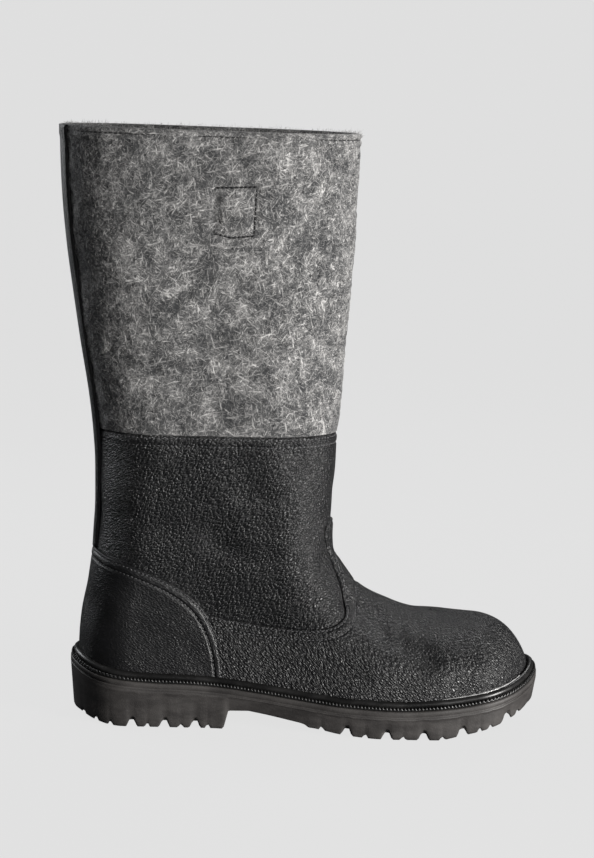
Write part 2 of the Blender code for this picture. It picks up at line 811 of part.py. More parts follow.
def channel_blocks():
    """Shallow channels along the tread, two under the heel and two under the forefoot."""
    runs = (
        (PAST_BACK, ARCH_LINE[0][0], HEEL_CHANNEL_OFFSET),
        (ARCH_LINE[-2][0], PAST_TOE, FORE_CHANNEL_OFFSET),
    )
    blocks = []
    for start, end, offset in runs:
        x = x_of(np.linspace(start, end, CHANNEL_POINTS))
        middle = centre_line(x, np.zeros_like(x))
        top, low = sole_bottom(x) + CHANNEL_DEPTH, np.full_like(x, -HEEL_HEIGHT)
        for side in (-offset, offset):
            left, right = middle + side - CHANNEL_WIDTH / 2, middle + side + CHANNEL_WIDTH / 2
            corners = ((left, low), (right, low), (right, top), (left, top))
            loops = np.stack([np.stack([x, y, z], -1) for y, z in corners], 1)
            blocks.append(loft("channel", loops, wrapped=False))
    return join_meshes("channels", blocks)


def make_welt(parts):
    """Strip on the sole's lip: a low ledge outside and a round bead that hugs the leather."""
    inside = GAP + OVERLAY + GAP
    edge = GAP + OVERLAY + LIP_REACH - LEDGE_INSET
    # offset from the upper, height over the sole
    section = [(inside, 0.0), (edge, 0.0), (edge, LEDGE_HEIGHT)]
    section += [(inside + BEAD_WIDTH * BEAD_FOOT, LEDGE_HEIGHT)]
    section += [(inside + BEAD_WIDTH * out, BEAD_HEIGHT * up) for out, up in BEAD_SECTION]
    loops = [contour(GAP + height, offset) for offset, height in section]
    return add_object("welt", loft("welt", loops, wrapped=True), parts, BEAD_LOOK)


def make_insole(parts):
    """Insole on the sole's upper face, inside the upper."""
    loops = []
    for height in (GAP, GAP + INSOLE_THICKNESS):
        ring = contour(GAP + INSOLE_THICKNESS, -(LEATHER_WALL + INSOLE_CLEARANCE))
        ring[:, 2] += height - (GAP + INSOLE_THICKNESS)
        loops.append(ring)
    return add_object("insole", loft("insole", loops, wrapped=False), parts, LINING_LOOK)


def main():
    for old in list(bpy.data.objects):
        bpy.data.objects.remove(old)
    parts = collection(PART_NAME)
    cutters = collection("cutters")
    make_outsole(parts, cutters)
    make_insole(parts)
    make_upper(parts)
    make_shaft(parts, cutters)
    make_vamp(parts, cutters)
    make_counter(parts, cutters)
    make_back_stay(parts, cutters)
    make_welt(parts)


main()
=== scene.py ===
"""Looks of the felt-shaft winter boot: its leather, felt, stitching and moulded sole.

Lengths are in metres. +X points to the toe, +Y to the inner side of the foot and +Z up. The
side view is the XZ plane: most shapes here are given there and then carried on to the boot's
surface. A station is a share of the upper's length, from 0 at the heel to 1 at the toe.
"""

import logging
import math
from dataclasses import dataclass, field
from enum import Enum
from functools import reduce

import bpy
import numpy as np
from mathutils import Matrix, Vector


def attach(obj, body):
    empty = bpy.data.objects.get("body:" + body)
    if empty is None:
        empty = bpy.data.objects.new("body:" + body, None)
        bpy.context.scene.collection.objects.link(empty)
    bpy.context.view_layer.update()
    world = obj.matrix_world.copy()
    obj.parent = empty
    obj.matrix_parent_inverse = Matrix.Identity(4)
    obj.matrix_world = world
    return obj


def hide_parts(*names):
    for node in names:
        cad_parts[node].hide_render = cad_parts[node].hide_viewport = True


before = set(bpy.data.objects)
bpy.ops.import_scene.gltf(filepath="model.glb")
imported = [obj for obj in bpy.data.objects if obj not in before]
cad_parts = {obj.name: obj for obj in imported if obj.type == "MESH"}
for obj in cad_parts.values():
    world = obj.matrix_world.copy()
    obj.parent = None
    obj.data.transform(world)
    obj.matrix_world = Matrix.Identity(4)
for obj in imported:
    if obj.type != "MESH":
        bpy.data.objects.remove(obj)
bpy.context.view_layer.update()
LOG = logging.getLogger("boot")
BODY = "root"
Array = np.ndarray


def ease(value: Array, low: float, high: float) -> Array:
    """Smooth step from 0 at low to 1 at high."""
    t = np.clip((value - low) / (high - low), 0.0, 1.0)
    return t * t * (3 - 2 * t)


def bell(off: Array, reach: float) -> Array:
    """Bell curve: 1 where off is 0, and 1/e at the reach."""
    return np.exp(-((off / reach) ** 2))


def round_edge(inside: Array, reach: float) -> Array:
    """Share of its full height that a quarter-round edge has at a distance inside it."""
    t = np.clip(inside / reach, 0, 1)
    return np.sqrt(t * (2 - t))


def end_spaced(count: int) -> Array:
    """Shares from 0 to 1 that lie close together at both ends."""
    return (1 - np.cos(np.linspace(0, math.pi, count))) / 2


def smooth(at: Array, table: tuple, column: int) -> Array:
    """Monotone cubic curve through one column of a table, held level outside it.

    Args:
        at: places to read the curve at, in the units of the table's first column.
        table: rows of numbers, first column rising.
        column: the column that is read.

    Returns:
        The column's value at each place.
    """
    xs, ys = np.array(table)[:, 0], np.array(table)[:, column]
    steps = np.diff(xs)
    slopes = np.diff(ys) / steps
    before, after = slopes[:-1], slopes[1:]
    same_way = before * after > 0
    weight_a, weight_b = 2 * steps[1:] + steps[:-1], steps[1:] + 2 * steps[:-1]
    under = np.where(same_way, weight_a * after + weight_b * before, 1.0)
    inner = np.where(same_way, (weight_a + weight_b) * before * after / under, 0.0)
    ends = np.concatenate([[slopes[0]], inner, [slopes[-1]]])
    at = np.clip(at, xs[0], xs[-1])
    k = np.clip(np.searchsorted(xs, at, side="right") - 1, 0, len(steps) - 1)
    t = (at - xs[k]) / steps[k]
    straight = (1 + 2 * t) * (1 - t) ** 2 * ys[k] + t * t * (3 - 2 * t) * ys[k + 1]
    return straight + steps[k] * t * (1 - t) * ((1 - t) * ends[k] - t * ends[k + 1])


def rounded(points: Array, steps: int = 8) -> Array:
    """Curve through the points of an open line, cubic between each pair (Catmull-Rom).

    Args:
        points: points of the line, in any number of dimensions.
        steps: pieces that each span is cut into.

    Returns:
        Points of the curve, the given ones among them.
    """
    padded = np.vstack([2 * points[0] - points[1], points, 2 * points[-1] - points[-2]])
    t = np.linspace(0, 1, steps, endpoint=False)[None, :, None]
    a, b, c, d = (padded[k : len(padded) - 3 + k][:, None] for k in range(4))
    spans = 2 * b + (c - a) * t + (2 * a - 5 * b + 4 * c - d) * t**2 + (3 * b - a - 3 * c + d) * t**3
    return np.vstack([0.5 * spans.reshape(-1, points.shape[1]), points[-1:]])


def lengths_of(line: Array) -> Array:
    """Length along a line up to each of its points."""
    return np.concatenate([[0], np.cumsum(np.linalg.norm(np.diff(line, axis=0), axis=1))])


def values_at(table: Array, known: Array, at: Array) -> Array:
    """Rows of a table that goes with a line, linear between the line's points.

    Args:
        table: one row per point of the line.
        known: length along the line of each of its points.
        at: lengths to read at.

    Returns:
        The table's rows at those lengths.
    """
    return np.stack([np.interp(at, known, column) for column in table.T], -1)


def at_lengths(line: Array, lengths: Array) -> Array:
    """Points of a line at given lengths along it."""
    return values_at(line, lengths_of(line), lengths)


def at_shares(line: Array, shares: Array) -> Array:
    """Points of a line at shares of its whole length."""
    return at_lengths(line, np.asarray(shares) * lengths_of(line)[-1])


def beside(line: Array, distance: float) -> Array:
    """Side-view line moved sideways.

    Args:
        line: points (x, z).
        distance: how far it moves to its left.

    Returns:
        The moved points.
    """
    run = np.gradient(line, axis=0)
    left = np.column_stack([-run[:, 1], run[:, 0]]) / np.linalg.norm(run, axis=1, keepdims=True)
    return line + left * distance


def signed_distance(points: Array, line: Array) -> Array:
    """Shortest distance from points to a line, positive on its left.

    Each point is dropped on every span of the line, held to the span's ends, and the nearest
    foot counts. Its side is the sign of the cross product with the span.

    Args:
        points: side-view points, in an array of any shape by 2.
        line: points of the line.

    Returns:
        The distances, in the points' own shape.
    """
    starts, runs = line[:-1], np.diff(line, axis=0)
    squares = (runs**2).sum(-1)
    flat = points.reshape(-1, 2)
    found = []
    for part in np.array_split(flat, max(1, len(flat) // 6000)):
        away = part[:, None, :] - starts
        share = np.clip((away * runs).sum(-1) / squares, 0, 1)
        off = ((away - share[..., None] * runs) ** 2).sum(-1)
        near = off.argmin(1)
        rows = np.arange(len(part))
        side = runs[near, 0] * away[rows, near, 1] - runs[near, 1] * away[rows, near, 0]
        found.append(np.sqrt(off[rows, near]) * np.where(side < 0, -1, 1))
    return np.concatenate(found).reshape(points.shape[:-1])


def bumps(points: Array, seed: int, size: float, count: int = 24) -> Array:
    """Soft irregular swell between about -1 and 1: a sum of plane waves in random directions.

    Args:
        points: places in space.
        seed: seed of the random numbers.
        size: wave length that the waves vary about.
        count: waves.

    Returns:
        The swell at each point.
    """
    draw = np.random.default_rng(seed)
    aim = draw.normal(size=(count, 3))
    aim /= np.linalg.norm(aim, axis=1, keepdims=True)
    pace = 2 * math.pi / (size * draw.uniform(0.7, 1.6, count))
    phase = draw.uniform(0, 2 * math.pi, count)
    waves = np.sin(points @ (aim * pace[:, None]).T + phase)
    return waves.sum(-1) / math.sqrt(count)


@dataclass(frozen=True)
class BootForm:
    """The boot's surface, repeated from the part's own sizes."""

    length: float = 0.2864
    origin_station: float = 0.1578
    boot_height: float = 0.377
    seam_height: float = 0.1868
    throat_height: float = 0.122
    vamp_height: float = 0.0686
    collar_drop: float = 0.0025
    ball_width: float = 0.097
    heel_width: float = 0.062
    leg_width: float = 0.069
    collar_width: float = 0.080
    toe_radius: float = 0.0345
    shin_round: float = 0.072
    heel_round: float = 0.032
    calf_round: float = 0.058
    gap: float = 0.0003
    leather_wall: float = 0.0026
    overlay: float = 0.0016
    felt_wall: float = 0.0045
    felt_set_back: float = 0.0008
    hem_depth: float = 0.0085
    heel_height: float = 0.029
    ball_height: float = 0.0187
    toe_spring: float = 0.0137
    heel_bevel: float = 0.005
    fore_roll: float = 0.0044
    arch_height: float = 0.0126
    lip_reach: float = 0.0055

    # station, ball share of the width, outer and inner half width as shares of the width
    foot_plan: tuple = (
        (0.000, 0.00, 0.500, 0.500), (0.108, 0.00, 0.510, 0.510), (0.212, 0.00, 0.510, 0.490),
        (0.317, 0.20, 0.465, 0.405), (0.422, 0.40, 0.470, 0.355), (0.527, 0.65, 0.484, 0.385),
        (0.631, 0.85, 0.504, 0.457), (0.719, 1.00, 0.492, 0.490), (0.788, 1.00, 0.487, 0.515),
        (0.858, 1.00, 0.460, 0.510), (0.928, 1.00, 0.430, 0.490), (1.000, 1.00, 0.380, 0.460),
    )
    # station, rise from the vamp height to the throat height
    vamp_line: tuple = (
        (1.400, -0.224), (0.850, -0.017), (0.803, 0.000), (0.757, 0.024), (0.702, 0.095),
        (0.646, 0.222), (0.608, 0.354), (0.587, 0.486), (0.572, 0.623), (0.560, 0.751), (0.5535, 0.930),
    )
    # station, rise from the throat height to the boot height
    shin_line: tuple = (
        (0.5532, 0.02), (0.5550, 0.055), (0.5569, 0.10), (0.5601, 0.18), (0.5639, 0.255),
        (0.5730, 0.38), (0.5824, 0.58), (0.5911, 0.78), (0.5964, 0.90), (0.5974, 1.00), (0.5974, 1.20),
    )
    # share of the boot height, station
    back_table: tuple = (
        (0.000, 0.0007), (0.114, 0.0000), (0.167, 0.0049), (0.212, 0.0133), (0.247, 0.0220),
        (0.281, 0.0283), (0.324, 0.0314), (0.369, 0.0346), (0.435, 0.0339), (0.496, 0.0283),
        (0.554, 0.0189), (0.639, 0.0000), (0.724, -0.0170), (0.806, -0.0322), (0.891, -0.0428),
        (0.958, -0.0470), (1.000, -0.0482), (1.200, -0.0500),
    )
    # share of the front outline, share of the back
    row_pace: tuple = (
        (0.000, 0.000), (0.280, 0.190), (0.540, 0.330), (0.680, 0.470), (0.770, 0.600), (1.000, 1.000),
    )
    # station, heel's share over the ball height, share of the toe spring
    sole_top_table: tuple = (
        (0.000, 1.000, 0.70), (0.060, 1.000, 0.26), (0.130, 1.000, 0.06), (0.198, 1.000, 0.00),
        (0.300, 0.885, 0.00), (0.404, 0.610, 0.00), (0.492, 0.340, 0.00), (0.600, 0.070, 0.00),
        (0.712, 0.000, 0.00), (0.823, 0.000, 0.16), (0.940, 0.000, 0.62), (0.985, 0.000, 0.96),
        (1.000, 0.000, 1.14),
    )
    # station, shares of the heel bevel, of the forefoot's roll and of the toe spring
    sole_bottom_table: tuple = (
        (0.000, 1.00, 0.00, 0.00), (0.035, 0.46, 0.00, 0.00), (0.080, 0.04, 0.00, 0.00),
        (0.100, 0.00, 0.00, 0.00), (0.330, 0.00, 0.00, 0.00), (0.440, 0.00, 1.00, 0.00),
        (0.511, 0.00, 1.00, 0.00), (0.582, 0.00, 0.36, 0.00), (0.631, 0.00, 0.11, 0.00),
        (0.666, 0.00, 0.00, 0.00), (0.795, 0.00, 0.00, 0.00), (0.846, 0.00, 0.00, 0.19),
        (0.889, 0.00, 0.00, 0.38), (0.921, 0.00, 0.00, 0.56), (0.952, 0.00, 0.00, 0.77),
        (0.985, 0.00, 0.00, 1.02), (1.000, 0.00, 0.00, 1.18),
    )
    # station, share of the throat height
    vamp_edge: tuple = (
        (0.262, 0.606), (0.284, 0.598), (0.344, 0.575), (0.421, 0.553), (0.500, 0.547), (0.552, 0.560),
        (0.579, 0.588), (0.589, 0.632), (0.588, 0.674), (0.568, 0.789), (0.547, 0.937), (0.541, 1.004),
        (0.552, 1.066), (0.620, 1.085),
    )
    counter_edge: tuple = (
        (-0.060, 0.914), (0.027, 0.905), (0.063, 0.880), (0.113, 0.850), (0.159, 0.810), (0.197, 0.770),
        (0.233, 0.719), (0.270, 0.642), (0.297, 0.538), (0.314, 0.432), (0.323, 0.311), (0.330, 0.100),
    )

    def x_of(self, station: Array) -> Array:
        """Place along the boot of a station."""
        return (np.asarray(station) - self.origin_station) * self.length

    def station_of(self, x: Array) -> Array:
        """Station of a place along the boot."""
        return np.asarray(x) / self.length + self.origin_station

    def sole_top(self, x: Array) -> Array:
        """Height of the sole's upper face."""
        at, rise = self.station_of(x), self.heel_height - self.ball_height
        heel, toe = (smooth(at, self.sole_top_table, k) for k in (1, 2))
        return self.ball_height + rise * heel + self.toe_spring * toe

    def sole_bottom(self, x: Array) -> Array:
        """Height of the tread before grooves and waist are cut."""
        bevel, roll, toe = (smooth(self.station_of(x), self.sole_bottom_table, k) for k in (1, 2, 3))
        return self.heel_bevel * bevel + self.fore_roll * roll + self.toe_spring * toe

    def back_x(self, z: Array) -> Array:
        """Back of the upper at a height."""
        return self.x_of(smooth(np.asarray(z) / self.boot_height, self.back_table, 1))

    def top_line(self) -> Array:
        """Top of the vamp and front of the leg in side view.

        Returns:
            Points from past the toe to above the collar, without those where the curve turns back.
        """
        vamp, shin = np.array(self.vamp_line), np.array(self.shin_line)
        vamp_z = self.vamp_height + vamp[:, 1] * (self.throat_height - self.vamp_height)
        shin_z = self.throat_height + shin[:, 1] * (self.boot_height - self.throat_height)
        z = np.concatenate([vamp_z, shin_z])
        line = rounded(np.column_stack([self.x_of(np.concatenate([vamp[:, 0], shin[:, 0]])), z]), 6)
        turns_back = line[:, 0] > np.minimum.accumulate(line[:, 0])
        return line[~turns_back | (line[:, 1] > self.throat_height)]

    def back_line(self) -> Array:
        """Back of the boot in side view."""
        z = np.linspace(-0.1, 1.2, 70) * self.boot_height
        return np.column_stack([self.back_x(z), z])

    def shin_x(self, z: Array) -> Array:
        """Front of the leg at a height."""
        shin = self.top_line()
        shin = shin[len(shin) // 2 :]
        return np.interp(z, shin[:, 1], shin[:, 0])

    @staticmethod
    def toe_angles() -> Array:
        """Angles round the toe in side view, from under its tip to its top."""
        return np.linspace(math.radians(-20), math.radians(90), 60)

    def middle(self, x: Array, z: Array) -> Array:
        """Sideways place of the upper's middle, which bends inwards along the foot."""
        width, outer, inner = self.plan(x)
        return width * (inner - outer) / 2 * (1 - self.into_leg(z))

    def into_leg(self, z: Array) -> Array:
        """Share by which the foot has turned into the leg at a height."""
        return ease(z, self.vamp_height * 0.80, self.throat_height * 1.15)

    def plan(self, x: Array) -> tuple:
        """Width of the foot at x, and the outer and inner shares of it."""
        ball, outer, inner = (smooth(self.station_of(x), self.foot_plan, k) for k in (1, 2, 3))
        return self.heel_width + (self.ball_width - self.heel_width) * ball, outer, inner

    def square(self, x: Array, z: Array) -> Array:
        """Square of the half width at a point of the side view, negative outside the boot.

        The flat width squared times 1 - a*a - b*b - c*c, where a, b and c are 1 on the top
        line, the toe and the back and fall to 0 where the rounding ends.

        Args:
            x: places along the boot.
            z: heights.

        Returns:
            The square at each point.
        """
        width, outer, inner = self.plan(x)
        foot = width * (outer + inner) / 2
        leg = (self.leg_width + (self.collar_width - self.leg_width)
               * ease(z, self.seam_height, self.boot_height)) / 2
        up = ease(z, self.throat_height * 0.75, self.boot_height * 0.80)
        points = np.stack([x, z], -1)
        front_round = self.toe_radius + (self.shin_round - self.toe_radius) * up
        back_round = self.heel_round + (self.calf_round - self.heel_round) * up
        a = 1 - signed_distance(points, self.top_line()) / front_round
        b = 1 - (self.x_of(1.0) - x) / self.toe_radius
        c = 1 + signed_distance(points, self.back_line()) / back_round
        a, b, c = (np.maximum(k, 0) for k in (a, b, c))
        return (foot + (leg - foot) * self.into_leg(z)) ** 2 * (1 - a * a - b * b - c * c)

    def end_of(self, inside: Array, outside: Array) -> Array:
        """Side-view points on the boot's outline, found by halving.

        Args:
            inside: points inside the outline.
            outside: a point outside it for each of them.

        Returns:
            The last point inside, on the way from each one to its partner.
        """
        low, high = np.zeros(inside.shape[:-1]), np.ones(inside.shape[:-1])
        for _ in range(26):
            share = (low + high) / 2
            at = inside + (outside - inside) * share[..., None]
            within = self.square(at[..., 0], at[..., 1]) > 0
            low, high = np.where(within, share, low), np.where(within, high, share)
        return inside + (outside - inside) * low[..., None]

    def on_skin(self, view: Array, side: Array) -> tuple:
        """Points on the boot over side-view points, with outward normals.

        The surface is (y - middle)^2 = square(x, z). Its normal is the gradient of the
        difference, by central steps.

        Args:
            view: side-view points (x, z).
            side: -1 for the outer side, 1 for the inner side, one number or one per point.

        Returns:
            Points and unit normals.
        """
        x, z, h = view[..., 0], view[..., 1], 2e-5
        middle, reach = self.middle(x, z), np.sqrt(np.maximum(self.square(x, z), 0)) * side
        slope_x = (self.square(x + h, z) - self.square(x - h, z)) / (2 * h)
        slope_z = (self.square(x, z + h) - self.square(x, z - h)) / (2 * h)
        bend_x = (self.middle(x + h, z) - self.middle(x - h, z)) / (2 * h)
        bend_z = (self.middle(x, z + h) - self.middle(x, z - h)) / (2 * h)
        normal = np.stack([-2 * reach * bend_x - slope_x, 2 * reach, -2 * reach * bend_z - slope_z], -1)
        normal /= np.maximum(np.linalg.norm(normal, axis=-1, keepdims=True), 1e-12)
        return np.stack([x, middle + reach, z], -1), normal

    def edge_line(self, rows: tuple) -> Array:
        """Side-view curve of a panel's edge."""
        table = np.array(rows)
        return rounded(np.column_stack([self.x_of(table[:, 0]), table[:, 1] * self.throat_height]))

    def ring(self, height: float, count: int) -> tuple:
        """Level outline of the foot at a height over the sole's upper face, with sideways normals.

        Args:
            height: height over the sole's upper face.
            count: steps along each side.

        Returns:
            Points of the closed ring, outer side first, and level unit normals.
        """
        start = float(self.back_x(self.sole_top(self.x_of(0.0)) + height)) + 1e-6
        xs = np.linspace(self.x_of(0.96), self.x_of(1.0) + 0.002, 600)
        inside = self.square(xs, self.sole_top(xs) + height) > 0
        tip = float(xs[inside][-1])
        x = start + (tip - start) * end_spaced(count + 1)
        z = self.sole_top(x) + height
        reach = np.sqrt(np.maximum(self.square(x, z), 0))
        reach[[0, -1]] = 0
        middle = self.middle(x, z)
        outer = np.stack([x, middle - reach, z], -1)
        inner = np.stack([x, middle + reach, z], -1)[-2:0:-1]
        ring = np.concatenate([outer, inner])
        run = np.roll(ring, -1, 0) - np.roll(ring, 1, 0)
        normal = np.column_stack([run[:, 1], -run[:, 0], np.zeros(len(run))])
        return ring, normal / np.linalg.norm(normal, axis=1, keepdims=True)


FORM = BootForm()


@dataclass
class Mesh:
    """Points and faces of a piece before it becomes an object."""

    points: Array
    faces: Array

    @classmethod
    def sheet(cls, grid: Array, wrap_rows: bool = False, wrap_columns: bool = False,
              turned: bool = False) -> "Mesh":
        """Sheet over a grid of points.

        Args:
            grid: points, as rows by columns by 3.
            wrap_rows: whether the last row joins the first.
            wrap_columns: whether a row is a closed loop.
            turned: whether the faces look the other way.

        Returns:
            The sheet's mesh.
        """
        faces = sheet_faces(*grid.shape[:2], wrap_rows, wrap_columns)
        return cls(grid.reshape(-1, 3), faces[:, ::-1] if turned else faces)

    def added(self, other: "Mesh") -> "Mesh":
        """This mesh and another one as a single mesh."""
        faces = np.vstack([self.faces, other.faces + len(self.points)])
        return Mesh(np.vstack([self.points, other.points]), faces)

    def made(self, name: str, finish: "Finish", slot: str, stands_for: str = "", merge: float = 0.0,
             wall: float = 0.0) -> bpy.types.Object:
        """Object for the mesh, riding on the boot.

        Args:
            name: name of the piece.
            finish: look of its surface.
            slot: material slot of the record; not used.
            stands_for: CAD node that it replaces.
            merge: distance under which points are one.
            wall: thickness added inwards.

        Returns:
            The finished object.
        """
        mesh = bpy.data.meshes.new(name)
        mesh.from_pydata(self.points.tolist(), [], self.faces.tolist())
        mesh.validate()
        made = bpy.data.objects.new(name, mesh)
        bpy.context.scene.collection.objects.link(made)
        if merge:
            weld = made.modifiers.new("weld", "WELD")
            weld.merge_threshold = merge
        if wall:
            shell = made.modifiers.new("wall", "SOLIDIFY")
            shell.thickness, shell.offset = wall, -1.0
        mesh.materials.append(finish.material(name + "_finish"))
        mesh.shade_smooth()
        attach(made, BODY)
        if stands_for:
            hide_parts(stands_for)
        LOG.info("%s: %d points, %d faces", name, len(self.points), len(self.faces))
        return made


def sheet_faces(rows: int, columns: int, wrap_rows: bool = False, wrap_columns: bool = False) -> Array:
    """Quads of a grid of points that is numbered row by row.

    Args:
        rows: rows of points.
        columns: points in a row.
        wrap_rows: whether the last row joins the first.
        wrap_columns: whether a row is a closed loop.

    Returns:
        Corner numbers of the quads, which face out of a sheet whose rows run to the right and pile up.
    """
    index = np.arange(rows * columns).reshape(rows, columns)
    if wrap_rows:
        index = np.vstack([index, index[:1]])
    if wrap_columns:
        index = np.hstack([index, index[:, :1]])
    corners = (index[:-1, :-1], index[:-1, 1:], index[1:, 1:], index[1:, :-1])
    return np.stack(corners, -1).reshape(-1, 4)


def joined(meshes: list) -> Mesh:
    """Several meshes as a single one."""
    return reduce(Mesh.added, meshes)


def tubes(paths: Array, radius: Array, sides: int, normals: Array = None) -> Mesh:
    """Thin closed tubes along many short paths at once.

    Each path point carries a ring of sides points, in the plane across the path's run. The
    radius is 0 at a path's ends, which closes them.

    Args:
        paths: points, as tubes by steps by 3.
        radius: radius at each step, as tubes by steps.
        sides: points of a ring.
        normals: a direction across each path, as tubes by steps by 3.

    Returns:
        The mesh of all tubes.
    """
    count, steps = paths.shape[:2]
    run = np.gradient(paths, axis=1)
    run /= np.maximum(np.linalg.norm(run, axis=-1, keepdims=True), 1e-12)
    up = normals if normals is not None else np.broadcast_to([0.3, 0.5, 0.8], paths.shape)
    beside_run = np.cross(run, up)
    beside_run /= np.maximum(np.linalg.norm(beside_run, axis=-1, keepdims=True), 1e-12)
    up = np.cross(beside_run, run)
    turn = np.linspace(0, 2 * math.pi, sides, endpoint=False)
    around = np.cos(turn)[:, None] * beside_run[:, :, None] + np.sin(turn)[:, None] * up[:, :, None]
    points = paths[:, :, None] + around * radius[..., None, None]
    one = sheet_faces(steps, sides, wrap_columns=True)[:, ::-1]
    faces = one[None] + (np.arange(count) * steps * sides)[:, None, None]
    return Mesh(points.reshape(-1, 3), faces.reshape(-1, 4))


class Socket:
    """A node's output, with arithmetic that adds Math nodes."""

    def __init__(self, tree: bpy.types.NodeTree, link: bpy.types.NodeSocket) -> None:
        """Wrap one output of a tree."""
        self.tree, self.link = tree, link

    def math(self, operation: str, *values: object) -> "Socket":
        """Math node of the operation on this socket and more values."""
        return add_node(self.tree, "ShaderNodeMath", {"operation": operation},
                        dict(enumerate((self, *values))))

    def __add__(self, other: object) -> "Socket":
        """Sum."""
        return self.math("ADD", other)

    def __sub__(self, other: object) -> "Socket":
        """Difference."""
        return self.math("SUBTRACT", other)

    def __mul__(self, other: object) -> "Socket":
        """Product."""
        return self.math("MULTIPLY", other)

    def __rsub__(self, other: float) -> "Socket":
        """Difference with this socket on the right."""
        return add_node(self.tree, "ShaderNodeMath", {"operation": "SUBTRACT"}, {0: other, 1: self})

    __radd__ = __add__
    __rmul__ = __mul__

    def between(self, low: float, high: float, start: float = 0.0, end: float = 1.0) -> "Socket":
        """Smooth step from start at low to end at high, held outside them."""
        return add_node(self.tree, "ShaderNodeMapRange", {"interpolation_type": "SMOOTHSTEP"},
                        {"Value": self, "From Min": low, "From Max": high, "To Min": start, "To Max": end})


def add_node(tree: bpy.types.NodeTree, kind: str, settings: dict, inputs: dict, output: object = 0) -> Socket:
    """Any node: its settings first, then the values or links of its sockets.

    Args:
        tree: the material's node tree.
        kind: type of the node.
        settings: properties of the node.
        inputs: values or sockets by input name or number.
        output: name or number of the output that is returned.

    Returns:
        The wrapped output.
    """
    node = tree.nodes.new(kind)
    for key, value in settings.items():
        setattr(node, key, value)
    for key, value in inputs.items():
        if isinstance(value, Socket):
            tree.links.new(value.link, node.inputs[key])
        else:
            node.inputs[key].default_value = value
    return Socket(tree, node.outputs[output])


@dataclass(frozen=True)
class Finish:
    """Base of the finishes: one Principled shader that fill() dresses."""

    def material(self, name: str) -> bpy.types.Material:
        """Material of the finish."""
        made = bpy.data.materials.new(name)
        made.use_nodes = True
        tree = made.node_tree
        self.fill(tree, tree.nodes["Principled BSDF"])
        return made

    def fill(self, tree: bpy.types.NodeTree, shader: bpy.types.Node) -> None:
        """Dress the shader."""
        raise NotImplementedError

    @staticmethod
    def place(tree: bpy.types.NodeTree, scale: tuple = (1.0, 1.0, 1.0), turn: float = 0.0) -> Socket:
        """Object coordinates turned about Y by an angle in degrees, then stretched."""
        coordinates = add_node(tree, "ShaderNodeTexCoord", {}, {}, "Object")
        turned = add_node(tree, "ShaderNodeMapping", {"vector_type": "POINT"},
                          {"Vector": coordinates, "Rotation": (0.0, math.radians(turn), 0.0)})
        return add_node(tree, "ShaderNodeMapping", {"vector_type": "POINT"},
                        {"Vector": turned, "Scale": scale})

    @staticmethod
    def noise(tree: bpy.types.NodeTree, where: Socket, scale: float, detail: float = 3.0,
              rough: float = 0.5, bend: float = 0.0) -> Socket:
        """Noise value at a place, from 0 to 1."""
        values = {"Vector": where, "Scale": scale, "Detail": detail, "Roughness": rough, "Distortion": bend}
        return add_node(tree, "ShaderNodeTexNoise", {"noise_dimensions": "3D"}, values)

    @staticmethod
    def blend(tree: bpy.types.NodeTree, share: Socket, dark: tuple, light: tuple) -> Socket:
        """Colour between two colours by a share."""
        return add_node(tree, "ShaderNodeMix", {"data_type": "RGBA"},
                        {0: share, 6: colour_of(dark), 7: colour_of(light)}, 2)

    @staticmethod
    def link(tree: bpy.types.NodeTree, shader: bpy.types.Node, name: str, value: Socket) -> None:
        """Feed one socket of the shader."""
        tree.links.new(value.link, shader.inputs[name])

    def emboss(self, tree: bpy.types.NodeTree, shader: bpy.types.Node, height: Socket, depth: float) -> None:
        """Bump from a height given in shares of a depth."""
        bump = add_node(tree, "ShaderNodeBump", {}, {"Height": height, "Distance": depth, "Strength": 1.0})
        self.link(tree, shader, "Normal", bump)


def colour_of(value: object) -> object:
    """Colour with its alpha, or a socket as it is."""
    return value if isinstance(value, Socket) else (*value, 1.0)


class Grain(Enum):
    """Way that a hide's pebbles lean in side view, in degrees."""

    DOWN_FORWARD = 35.0
    UP_FORWARD = -40.0
    FINE = -20.0


